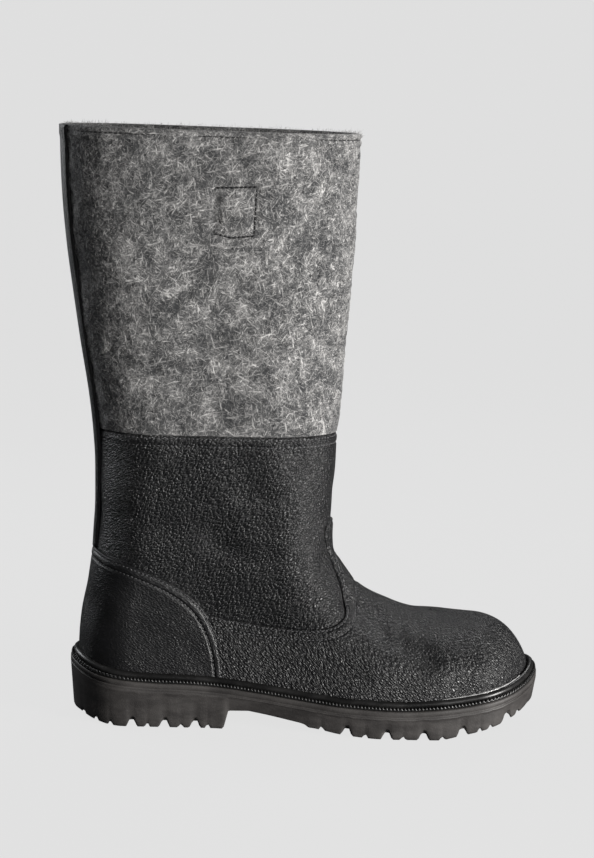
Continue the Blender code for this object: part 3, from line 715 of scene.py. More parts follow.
@dataclass(frozen=True)
class PebbledLeather(Finish):
    """Black corrected-grain leather: drawn-out pebbles with glossy flanks and pale tops, whose paleness is
    partly rubbed wear and partly a painted highlight.
    """

    grain: Grain = Grain.DOWN_FORWARD
    pitch: float = 0.0017
    dark: tuple = (0.0055, 0.0055, 0.0062)
    # Pale colour of the pebble tops: partly rubbed wear, partly a painted highlight.
    worn_and_highlight: tuple = (0.028, 0.028, 0.030)
    roughness: float = 0.23
    depth: float = 0.0006
    stretch: tuple = (0.62, 1.0, 1.30)
    bend_scale: float = 260.0
    bend: float = 0.0014

    def fill(self, tree: bpy.types.NodeTree, shader: bpy.types.Node) -> None:
        """Voronoi cells bent by noise give the pebbles; a second, finer set breaks them up."""
        where = self.place(tree, self.stretch, self.grain.value)
        bend = add_node(tree, "ShaderNodeTexNoise", {},
                        {"Vector": where, "Scale": self.bend_scale, "Detail": 2.0}, "Color")
        shift = add_node(tree, "ShaderNodeVectorMath", {"operation": "MULTIPLY_ADD"},
                         {0: bend, 1: (self.bend,) * 3, 2: where})
        pace = 1.0 / self.pitch

        def cell(feature: str, scale: float) -> Socket:
            """Distance of one Voronoi feature in the bent space."""
            return add_node(tree, "ShaderNodeTexVoronoi", {"feature": feature},
                            {"Vector": shift, "Scale": scale}, "Distance")

        edges, dome = cell("DISTANCE_TO_EDGE", pace), cell("F1", pace)
        fine = cell("DISTANCE_TO_EDGE", pace * 2.3)
        pebble = (edges.between(0.0, 0.16) * 0.35 + dome.between(0.05, 0.65, 1.0, 0.0) * 0.5
                  + fine.between(0.0, 0.3) * 0.15)
        tone = self.noise(tree, where, pace * 0.5, 2.0)
        cloud = self.noise(tree, self.place(tree), 28.0, 4.0, 0.6)
        # Pebble tops are lightened towards the pale colour: partly rubbed wear, partly a painted highlight on
        # each top.
        rub_and_highlight = pebble.between(0.55, 0.95) * tone.between(0.42, 0.70)
        rub_and_highlight = rub_and_highlight * cloud.between(0.3, 0.7, 0.45, 1.0)
        self.link(tree, shader, "Base Color", self.blend(tree, rub_and_highlight, self.dark, self.worn_and_highlight))
        self.link(tree, shader, "Roughness",
                  (1 - pebble) * 0.20 + self.roughness + cloud.between(0.3, 0.7) * 0.07 + tone * 0.05)
        shader.inputs["Specular IOR Level"].default_value = 0.55
        pores = self.noise(tree, where, pace * 5.0, 2.0)
        self.emboss(tree, shader, pebble + pores * 0.06 + tone * 0.12, self.depth)


@dataclass(frozen=True)
class WoolFelt(Finish):
    """Grey melange felt: matted short fibres in several directions, in light and dark clouds."""

    dark: tuple = (0.020, 0.021, 0.023)
    light: tuple = (0.62, 0.61, 0.60)
    roughness: float = 0.95
    # turn in degrees and scale of each way that strands run
    strand_ways: tuple = ((12.0, 700.0), (58.0, 820.0), (101.0, 760.0), (149.0, 880.0))

    def fill(self, tree: bpy.types.NodeTree, shader: bpy.types.Node) -> None:
        """Stretched noises at four angles, the strongest of them at each place, over soft clouds."""
        bend = self.place(tree)
        cloud = self.noise(tree, bend, 70.0, 3.0, 0.55, 0.6)
        strands = None
        for turn, scale in self.strand_ways:
            where = self.place(tree, (0.17, 0.6, 1.0), turn)
            strand = self.noise(tree, where, scale, 2.0, 0.6, 1.1)
            strands = strand if strands is None else strands.math("MAXIMUM", strand)
        fleck = self.noise(tree, bend, 900.0, 2.0, 0.7)
        share = (strands.between(0.50, 0.78) * 0.55 + cloud.between(0.30, 0.72) * 0.30
                 + fleck.between(0.3, 0.8) * 0.22)
        self.link(tree, shader, "Base Color", self.blend(tree, share * share * 1.15, self.dark, self.light))
        shader.inputs["Roughness"].default_value = self.roughness
        shader.inputs["Specular IOR Level"].default_value = 0.15
        shader.inputs["Sheen Weight"].default_value = 0.25
        shader.inputs["Sheen Roughness"].default_value = 0.6
        self.emboss(tree, shader, strands * 0.8 + fleck * 0.3, 0.0007)


@dataclass(frozen=True)
class MouldedRubber(Finish):
    """Matt moulded rubber with a dusty bloom."""

    dark: tuple = (0.022, 0.020, 0.0195)
    light: tuple = (0.052, 0.048, 0.046)
    roughness: float = 0.55
    depth: float = 0.00012

    def fill(self, tree: bpy.types.NodeTree, shader: bpy.types.Node) -> None:
        """Cloudy bloom with fine specks over a fine moulded texture."""
        where = self.place(tree)
        bloom = self.noise(tree, self.place(tree, (1.0, 1.0, 2.5)), 60.0, 5.0, 0.62)
        speck = self.noise(tree, where, 1500.0, 2.0, 0.6)
        dust = bloom.between(0.30, 0.72) * 0.7 + speck.between(0.45, 0.75) * 0.3
        self.link(tree, shader, "Base Color", self.blend(tree, dust, self.dark, self.light))
        self.link(tree, shader, "Roughness", dust * 0.16 + self.roughness)
        self.emboss(tree, shader, speck + bloom * 2.0, self.depth)


@dataclass(frozen=True)
class TwistedThread(Finish):
    """Thread or fibre with a faint twist."""

    dark: tuple = (0.020, 0.020, 0.022)
    light: tuple = (0.120, 0.120, 0.124)
    roughness: float = 0.38

    def fill(self, tree: bpy.types.NodeTree, shader: bpy.types.Node) -> None:
        """Fine bands across the thread in its colour and height."""
        bands = self.noise(tree, self.place(tree, (1.0, 1.0, 1.6), 30.0), 1900.0, 2.0)
        share = bands.between(0.35, 0.65)
        self.link(tree, shader, "Base Color", self.blend(tree, share, self.dark, self.light))
        shader.inputs["Roughness"].default_value = self.roughness
        self.emboss(tree, shader, bands, 0.0001)


@dataclass
class Seam:
    """A sewn line beside a panel's edge: sunk trough and one row of stitches."""

    inset: float
    pitch: float = 0.0027
    sunk: float = 0.0009
    half_width: float = 0.0006


@dataclass
class Quarters:
    """Leather foot and leg: one closed wall under the vamp and the counter."""

    fan_rows: int = 120
    leg_rows: int = 10
    columns: int = 96
    lap: float = 0.012
    rim: float = 0.0012
    seams: tuple = (Seam(0.0016), Seam(0.0063))
    swell: float = 0.0005
    sag_ends: float = 0.60
    # side-view line (station, height), depth, reach to each side of the line
    creases: tuple = (
        (((0.30, 0.118), (0.40, 0.110), (0.53, 0.112)), 0.0011, 0.0070),
        (((0.10, 0.135), (0.22, 0.128), (0.36, 0.131)), 0.0007, 0.0075),
        (((0.36, 0.150), (0.46, 0.146), (0.54, 0.150)), 0.0006, 0.0060),
        (((0.44, 0.088), (0.50, 0.096), (0.56, 0.100)), 0.0007, 0.0050),
    )
    instep_creases: tuple = (
        (((0.600, 0.082), (0.650, 0.070), (0.700, 0.061), (0.770, 0.053)), 0.0034, 0.0075),
        (((0.655, 0.079), (0.675, 0.066), (0.683, 0.057)), 0.0011, 0.0028),
        (((0.700, 0.076), (0.715, 0.065), (0.722, 0.055)), 0.0012, 0.0030),
        (((0.735, 0.074), (0.745, 0.065), (0.752, 0.058)), 0.0006, 0.0024),
        (((0.610, 0.100), (0.640, 0.084), (0.690, 0.072)), 0.0006, 0.0035),
        (((0.930, 0.060), (0.965, 0.052), (0.985, 0.040)), 0.0012, 0.0055),
    )

    def rows(self) -> Array:
        """Side-view rows that fan out from the sole and lie level up the leg.

        Returns:
            Points (x, z), from back to front in each row and from the sole upwards.
        """
        shares = end_spaced(self.columns + 1)
        form, lap = FORM, FORM.seam_height - self.lap
        top = form.top_line()
        angles = form.toe_angles()
        arc_end = form.x_of(1.0) - form.toe_radius
        arc_x = form.x_of(1.0) - form.toe_radius * (1 - np.cos(angles))
        arc_z = np.interp(arc_x, top[::-1, 0], top[::-1, 1]) - form.toe_radius * (1 - np.sin(angles))
        outline = np.vstack([np.column_stack([arc_x, arc_z]), top[top[:, 0] < arc_end]])
        known = lengths_of(outline)
        over = outline[:, 1] - form.sole_top(outline[:, 0]) - form.gap
        past_toe = len(angles)
        feather = float(np.interp(0.0, over[: past_toe // 2], known[: past_toe // 2]))
        end = float(np.interp(lap, outline[past_toe:, 1], known[past_toe:]))
        front_shares = np.arange(self.fan_rows) / self.fan_rows
        fronts = at_lengths(outline, feather + (end - feather) * front_shares)
        low = float(form.sole_top(form.x_of(0.0))) + form.gap
        back_z = low + (lap - low) * smooth(front_shares, form.row_pace, 1)
        backs = np.column_stack([form.back_x(back_z), back_z])
        fronts = form.end_of(backs + (fronts - backs) * 0.8, backs + (fronts - backs) * 1.04)
        fan = backs[:, None] + (fronts - backs)[:, None] * shares[:, None]
        sag = form.sole_top(fan[0, :, 0]) + form.gap - fan[0, :, 1]
        fan[..., 1] += sag * (1 - ease(front_shares, 0.0, self.sag_ends))[:, None]
        heights = np.linspace(lap, form.seam_height, self.leg_rows)
        return np.concatenate([fan, level_rows(heights, shares)])

    def relief(self, points: Array) -> Array:
        """Soft swell and creases, which the overlays follow too.

        Args:
            points: points of the boot's surface.

        Returns:
            Height over the surface; the instep's creases fade at the outline.
        """
        lift = self.swell * bumps(points, 3, 0.035) * ease(points[..., 2], 0.05, 0.09)
        off_outline = ease(FORM.square(points[..., 0], points[..., 2]), 0.0, 5e-4)
        instep = crease_depth(points, self.instep_creases) * off_outline
        return lift - crease_depth(points, self.creases) - instep

    def build(self) -> None:
        """Wall, soft creases and two sunk seams under its top edge."""
        points, normals = both_sides(self.rows())
        lift = self.relief(points)
        follow = np.minimum(lift, 0.0) - FORM.leather_wall
        below = FORM.seam_height - points[..., 2]
        for seam in self.seams:
            lift -= seam.sunk * bell(below - seam.inset, seam.half_width)
        lift -= self.rim * (1 - round_edge(below, self.rim))
        outer = points + normals * lift[..., None]
        inner = points + normals * follow[..., None]
        rim = (outer[-1:] + inner[-1:]) / 2
        grid = np.concatenate([outer, rim, inner[::-2]])
        Mesh.sheet(grid, True, True).made("quarter_leather", PebbledLeather(), "leather", "upper")


def level_rows(heights: Array, shares: Array) -> Array:
    """Side-view rows of the leg, which drop a little to the front above the seam.

    Args:
        heights: height of each row at the back.
        shares: places along a row, from 0 at the back to 1 at the front.

    Returns:
        Points (x, z), as rows by shares by 2.
    """
    form = FORM
    up = (heights - form.seam_height) / (form.boot_height - form.seam_height)
    drop = form.collar_drop * np.clip(up, 0, None)
    starts = np.column_stack([form.back_x(heights), heights])
    ends = np.column_stack([form.shin_x(heights - drop), heights - drop])
    return starts[:, None] + (ends - starts)[:, None] * shares[:, None]


def both_sides(view: Array) -> tuple:
    """Closed rows on the boot over side-view rows that run from the back to the front.

    The outer side comes first and the inner side back again. The first and last points of a
    row lie on the boot's outline, and their normals are the sum of their neighbours' ones, laid
    in the side view.

    Args:
        view: side-view rows.

    Returns:
        Points and outward unit normals.
    """
    outer, outward = FORM.on_skin(view, -1)
    inner, inward = FORM.on_skin(view[:, -2:0:-1], 1)
    middle = FORM.middle(view[..., 0], view[..., 1])
    outer[:, [0, -1], 1] = middle[:, [0, -1]]
    points = np.concatenate([outer, inner], 1)
    normals = np.concatenate([outward, inward], 1)
    for column in 0, view.shape[1] - 1:
        facing = normals[:, column - 1] + normals[:, column + 1]
        facing[:, 1] = 0
        normals[:, column] = facing / np.maximum(np.linalg.norm(facing, axis=-1, keepdims=True), 1e-12)
    return points, normals


def crease_depth(points: Array, creases: tuple) -> Array:
    """Depth of soft troughs that follow side-view lines: a bell across each, fading at its ends.

    Args:
        points: points of the boot's surface.
        creases: line of (station, height), depth, and reach to each side of the line.

    Returns:
        The depth at each point.
    """
    depth = np.zeros(points.shape[:-1])
    view = points[..., [0, 2]]
    for line, deep, reach in creases:
        table = np.array(line)
        path = rounded(np.column_stack([FORM.x_of(table[:, 0]), table[:, 1]]), 4)
        depth += deep * bell(signed_distance(view, path), reach)
    return depth


@dataclass
class Panel:
    """Leather overlay given by side-view lines and mirrored over the boot's outline.

    A side-view grid between the panel's border lines is carried to the surface. The panel's edge
    is rounded and its seams are sunk beside the edge.
    """

    name: str
    node: str
    edge: Array
    seams: tuple
    finish: PebbledLeather
    lift: float = 0.0
    round_over: float = 0.0013
    fine: float = 0.00045
    fine_reach: float = 0.0125
    swell: float = 0.0004
    lip: float = 0.00012
    lip_inset: float = 0.0042
    lip_reach: float = 0.0012
    weld: float = 0.00003
    # square of the half width under which a border point counts as on the outline
    near_outline: float = 1.5e-5

    def paces(self, span: float, coarse: int, at_ridge: bool) -> Array:
        """Shares from 0 to 1 that lie close together near 1, where the panel's edge is.

        Args:
            span: rough length that the shares divide.
            coarse: steps up to the fine part.
            at_ridge: whether they lie close at 0 too, where the outline is.

        Returns:
            The shares.
        """
        reach = min(self.fine_reach / span, 0.5)
        steps = max(4, int(reach * span / self.fine))
        t = np.linspace(0, 1, coarse, endpoint=False)
        slow = 1 - np.cos(t * math.pi / 2) if at_ridge else t
        return np.concatenate([slow * (1 - reach), 1 - reach + reach * np.linspace(0, 1, steps)])

    @staticmethod
    def patch(low: Array, high: Array, left: Array, right: Array, u: Array, v: Array) -> Array:
        """Coons patch: the sum of the two ruled sheets between facing borders, less the corners' blend.

        Args:
            low: border line along u where v is 0.
            high: border line along u where v is 1.
            left: border line along v where u is 0.
            right: border line along v where u is 1.
            u: shares along the first two borders.
            v: shares along the other two.

        Returns:
            Points (x, z), as v by u by 2.
        """
        a, b = at_shares(low, u)[None], at_shares(high, u)[None]
        c, d = at_shares(left, v)[:, None], at_shares(right, v)[:, None]
        s, t = u[None, :, None], v[:, None, None]
        corners = (1 - t) * ((1 - s) * low[0] + s * low[-1]) + t * ((1 - s) * high[0] + s * high[-1])
        return (1 - t) * a + t * b + (1 - s) * c + s * d - corners

    def relief(self, points: Array) -> Array:
        """Height over the boot's surface: rounded edge, sunk seams, a raised lip and a soft swell.

        Args:
            points: points of the boot's surface.

        Returns:
            The height at each point, on top of the quarters' own relief.
        """
        inside = np.abs(signed_distance(points[..., [0, 2]], self.edge))
        height = (FORM.gap + FORM.overlay + self.lift) * round_edge(inside, self.round_over)
        for seam in self.seams:
            height -= seam.sunk * bell(inside - seam.inset, seam.half_width)
        height += self.lip * bell(inside - self.lip_inset, self.lip_reach)
        height += self.swell * bumps(points, 11, 0.03) * ease(inside, 0.01, 0.03)
        return height + Quarters().relief(points)

    def build(self, view: Array) -> None:
        """Carry the side-view grid to both sides of the boot and thicken it.

        Args:
            view: side-view grid, whose first column lies on the outline.
        """
        outer, outward = FORM.on_skin(view, -1)
        inner, inward = FORM.on_skin(view, 1)
        on_outline = FORM.square(view[:, 0, 0], view[:, 0, 1]) < self.near_outline
        for points, normals in (outer, outward), (inner, inward):
            points[on_outline, 0, 1] = FORM.middle(view[on_outline, 0, 0], view[on_outline, 0, 1])
            flat = normals[:, 1].copy()
            flat[:, 1] = 0
            flat /= np.maximum(np.linalg.norm(flat, axis=-1, keepdims=True), 1e-12)
            normals[on_outline, 0] = flat[on_outline]
        halves = []
        for points, normals in (outer, outward), (inner, inward):
            grid = points + normals * self.relief(points)[..., None]
            facing = np.cross((grid[:, 1:] - grid[:, :-1])[:-1], (grid[1:] - grid[:-1])[:, :-1])
            halves.append(Mesh.sheet(grid, turned=(facing * normals[:-1, :-1]).sum() < 0))
        halves[0].added(halves[1]).made(self.name, self.finish, "leather", self.node, self.weld,
                                    FORM.overlay * 0.8)


@dataclass
class Overlays:
    """Vamp and heel counter."""

    foot: float = 0.0006
    vamp_columns: int = 230
    # share of the grid, of the vamp's upper edge, of the line round sole, toe and instep
    vamp_pairs: tuple = (
        (0.00, 0.00, 0.00), (0.28, 0.46, 0.20), (0.50, 0.55, 0.52), (0.72, 0.65, 0.845), (1.00, 1.00, 1.00),
    )
    vamp_seams: tuple = (Seam(0.0016), Seam(0.0068))
    vamp_coarse: int = 46
    vamp_fine: int = 28
    counter_seams: tuple = (Seam(0.0016), Seam(0.0062))

    def sole_line(self, start: float, end: float) -> Array:
        """Side-view line on the sole's upper face."""
        x = np.linspace(start, end, 80)
        return np.column_stack([x, FORM.sole_top(x) + self.foot])

    def vamp(self) -> Panel:
        """The vamp, whose wings end under the counter.

        Its side-view grid is ruled between its upper edge and the line round sole, toe and instep.

        Returns:
            The vamp's panel.
        """
        edge = FORM.edge_line(FORM.vamp_edge)
        inside = FORM.square(edge[:, 0], edge[:, 1]) > 0
        edge = edge[: int(np.argmin(inside))] if not inside.all() else edge
        last = FORM.end_of(edge[-1:], edge[-1:] + np.array([[0.006, 0.001]]))
        high = np.vstack([edge, last])
        panel = Panel("vamp_leather", "vamp", high, self.vamp_seams, PebbledLeather(Grain.UP_FORWARD))
        xs = np.linspace(FORM.x_of(0.95), FORM.x_of(1.0) + 0.002, 400)
        tip = xs[FORM.square(xs, FORM.sole_top(xs) + self.foot) > 0][-1]
        low = self.sole_line(high[0, 0], tip)
        top = FORM.top_line()
        angles = FORM.toe_angles()
        heart = np.array([FORM.x_of(1.0) - FORM.toe_radius, 0.0])
        heart[1] = np.interp(heart[0], top[::-1, 0], top[::-1, 1]) - FORM.toe_radius
        rays = np.column_stack([np.cos(angles), np.sin(angles)])
        arc = FORM.end_of(heart + rays * FORM.toe_radius * 0.4, heart + rays * FORM.toe_radius * 1.5)
        arc = arc[arc[:, 1] > low[-1, 1] + 0.0008]
        behind = top[(top[:, 0] < heart[0] - 0.001) & (top[:, 1] < last[0, 1])]
        far = np.vstack([low, arc, behind, last])
        share = np.linspace(0, 1, self.vamp_columns)
        near_line = at_shares(high, smooth(share, self.vamp_pairs, 1))[None]
        far_line = at_shares(far, smooth(share, self.vamp_pairs, 2))[None]
        span = np.maximum(np.linalg.norm(near_line - far_line, axis=-1), 1e-4)
        reach = np.minimum(panel.fine_reach / span, 0.5)
        t = np.linspace(0, 1, self.vamp_coarse, endpoint=False)[:, None]
        fine = 1 - reach + reach * np.linspace(0, 1, self.vamp_fine)[:, None]
        paces = np.concatenate([(1 - np.cos(t * math.pi / 2)) * (1 - reach), fine])[..., None]
        view = far_line * (1 - paces) + near_line * paces
        panel.build(view.transpose(1, 0, 2))
        return panel

    def counter(self) -> Panel:
        """The heel counter, a Coons patch from the back line to its edge.

        Returns:
            The counter's panel.
        """
        edge = FORM.edge_line(FORM.counter_edge)
        start = FORM.end_of(np.array([[0.0, edge[8, 1]]]), np.array([[FORM.x_of(-0.2), edge[0, 1]]]))
        edge = np.vstack([start, edge[edge[:, 0] > start[0, 0] + 0.001]])
        over = edge[:, 1] - FORM.sole_top(edge[:, 0]) - self.foot
        edge = edge[: int(np.argmax(over < 0))]
        panel = Panel("counter_leather", "counter", edge, self.counter_seams,
                      PebbledLeather(Grain.FINE, 0.0015, depth=0.00022), lift=0.0004)
        back_low = FORM.back_x(FORM.sole_top(FORM.x_of(0.0)) + self.foot)
        low = self.sole_line(float(back_low) + 1e-5, edge[-1, 0])
        low[-1] = edge[-1]
        z = np.linspace(low[0, 1], start[0, 1], 60)
        left = np.column_stack([FORM.back_x(z) + 1e-6, z])
        corner = int(np.argmin(np.abs(edge[:, 1] - 0.70 * FORM.throat_height)))
        high, right = edge[: corner + 1], edge[corner:][::-1]
        u = panel.paces(0.07, 60, True)
        v = panel.paces(0.07, 50, False)
        panel.build(panel.patch(low, high, left, right, u, v))
        return panel


@dataclass
class BackStay:
    """Strip over the back seam, from the collar to the counter."""

    thickness: float = 0.0015
    foot_width: float = 0.022
    top_width: float = 0.030
    rows: int = 150
    columns: int = 26
    edge_round: float = 0.0012
    groove: float = 0.0003
    hem_rise: float = 0.0005
    shell: float = 0.0009
    seam: Seam = field(default_factory=lambda: Seam(0.0016))

    def half_width(self, z: Array) -> Array:
        """Half the strip's width at heights that run from its foot to its top."""
        return (self.foot_width + (self.top_width - self.foot_width) * (z - z[0]) / (z[-1] - z[0])) / 2

    def side_point(self, z: Array, reach: Array) -> Array:
        """Side-view points where the boot's half width is a given reach, by halving.

        Args:
            z: heights.
            reach: half width wanted at each of them.

        Returns:
            Points (x, z) near the back.
        """
        low = FORM.back_x(z)
        high = low + 0.03
        start = low.copy()
        for _ in range(24):
            x = (low + high) / 2
            short = FORM.square(x, z) < reach**2
            low, high = np.where(short, x, low), np.where(short, high, x)
        return np.stack([np.maximum(low, start + 1e-6), z], -1)

    def build(self) -> None:
        """Strip with rounded edges and a sunk seam along each."""
        form = FORM
        z = np.linspace(form.throat_height * 0.905, form.boot_height - 0.0004, self.rows)
        half = self.half_width(z)
        across = np.sin(np.linspace(0, math.pi / 2, self.columns))
        reach = half[:, None] * across
        view = self.side_point(np.broadcast_to(z[:, None], reach.shape).copy(), reach)
        outer, outward = form.on_skin(view, -1)
        inner, inward = form.on_skin(view, 1)
        outer[:, 0, 1] = form.middle(view[:, 0, 0], view[:, 0, 1])
        points = np.concatenate([outer[:, :0:-1], outer[:, :1], inner[:, 1:]], 1)
        normals = np.concatenate([outward[:, :0:-1], outward[:, :1], inward[:, 1:]], 1)
        centre = self.columns - 1
        normals[:, centre] = normals[:, centre - 1] + normals[:, centre + 1]
        normals[:, centre] /= np.linalg.norm(normals[:, centre], axis=-1, keepdims=True)
        inset = np.concatenate([(half[:, None] - reach)[:, :0:-1], (half[:, None] - reach)], 1)
        height = self.thickness * round_edge(inset, self.edge_round)
        height -= self.groove * bell(inset - self.seam.inset, self.seam.half_width)
        hem = form.boot_height - form.hem_depth
        height += self.hem_rise * ease(points[..., 2], hem, form.boot_height - 0.006)
        Mesh.sheet(points + normals * height[..., None]).made(
            "stay_leather", PebbledLeather(Grain.UP_FORWARD, 0.0012, depth=0.0003), "leather", "back_stay",
            wall=self.shell)


@dataclass
class FeltShaft:
    """Felt leg: one closed wall with a rounded hem, a sewn box and a soft, uneven face."""

    rows: int = 190
    columns: int = 120
    lap: float = 0.012
    hem_swell: float = 0.0007
    topstitch: float = 0.0038
    box_station: float = 0.288
    box_level: float = 0.828
    box_width: float = 0.0255
    box_height: float = 0.030
    box_swell: float = 0.0016
    box_groove: float = 0.0014
    swell: float = 0.0008
    nap: float = 0.00022
    trough: float = 0.0009
    trough_reach: float = 0.0008
    collar_back: float = 0.059
    collar_length: float = 0.185
    rim_steps: int = 13
    inner_rows: int = 50

    def box(self) -> Array:
        """Side-view corners of the sewn box, leaning a little as hand-guided sewing does.

        Returns:
            The closed line of its corners.
        """
        x, z = float(FORM.x_of(self.box_station)), FORM.boot_height * self.box_level
        w, h = self.box_width, self.box_height
        return np.array([(x, z + 0.0012), (x + 0.010, z - 0.0012), (x + w - 0.0012, z), (x + w, z + h),
                         (x, z + h - 0.001), (x, z + 0.0012)])

    def relief(self, points: Array) -> Array:
        """Height over the boot's surface: soft swells, pillowed box, hem and its sewn trough.

        Args:
            points: points of the boot's surface.

        Returns:
            The height at each point.
        """
        low, high = FORM.seam_height, FORM.boot_height
        x, z, outer_side = points[..., 0], points[..., 2], points[..., 1] < 0
        height = -FORM.felt_set_back * (1 - ease(z, low, low + 0.010))
        height += self.swell * bumps(points, 5, 0.06) * ease(z, low + 0.005, low + 0.03)
        height += self.nap * bumps(points, 8, 0.006, 60)
        top = high - FORM.collar_drop * (x + self.collar_back) / self.collar_length
        hem = ease(z, top - FORM.hem_depth, top - FORM.hem_depth + 0.0022)
        height += self.hem_swell * hem - self.trough * bell(z - top + self.topstitch, self.trough_reach)
        box = self.box()
        off = np.abs(signed_distance(points[..., [0, 2]], box))
        (left, low_side), (right, high_side) = box.min(0), box.max(0)
        within = (x > left) & (x < right) & (z > low_side) & (z < high_side) & outer_side
        pillow = np.where(within, ease(off, 0.0, 0.007), 0.0)
        groove = np.where(outer_side, bell(off, 0.0010), 0.0)
        return height + self.box_swell * pillow - self.box_groove * groove

    def build(self) -> None:
        """Outer face, rim and inner face as one wall wrapped round."""
        shares = end_spaced(self.columns + 1)
        form = FORM
        radius = (form.felt_wall + self.hem_swell) / 2
        seam, lap = form.seam_height, self.lap
        foot = np.array([seam - lap, seam - lap / 2, seam + 0.0002])
        face = np.linspace(seam + 0.0004, form.boot_height - radius, self.rows)
        turn = np.linspace(0, math.pi, self.rim_steps)[1:-1]
        rim = form.boot_height - radius + radius * np.sin(turn)
        inside = np.linspace(form.boot_height - radius, seam + 0.001, self.inner_rows)
        back = np.array([seam - lap / 2, seam - lap])
        heights = np.concatenate([foot, face, rim, inside, back])
        points, normals = both_sides(level_rows(heights, shares))
        tucked = np.full(len(foot), -(form.leather_wall + form.gap))
        over_rim = self.hem_swell - radius + radius * np.cos(turn)
        under = np.full(len(inside) + len(back), -form.felt_wall)
        offset = np.concatenate([tucked, np.zeros(self.rows), over_rim, under])[:, None]
        offset = np.broadcast_to(offset, points.shape[:2]).copy()
        last = len(foot) + self.rows
        offset[len(foot) : last] += self.relief(points[len(foot) : last])
        offset[last + len(turn) :] += 0.0004 * bumps(points[last + len(turn) :], 6, 0.03)
        grid = points + normals * offset[..., None]
        Mesh.sheet(grid, True, True).made("felt_shaft", WoolFelt(), "felt", "shaft")


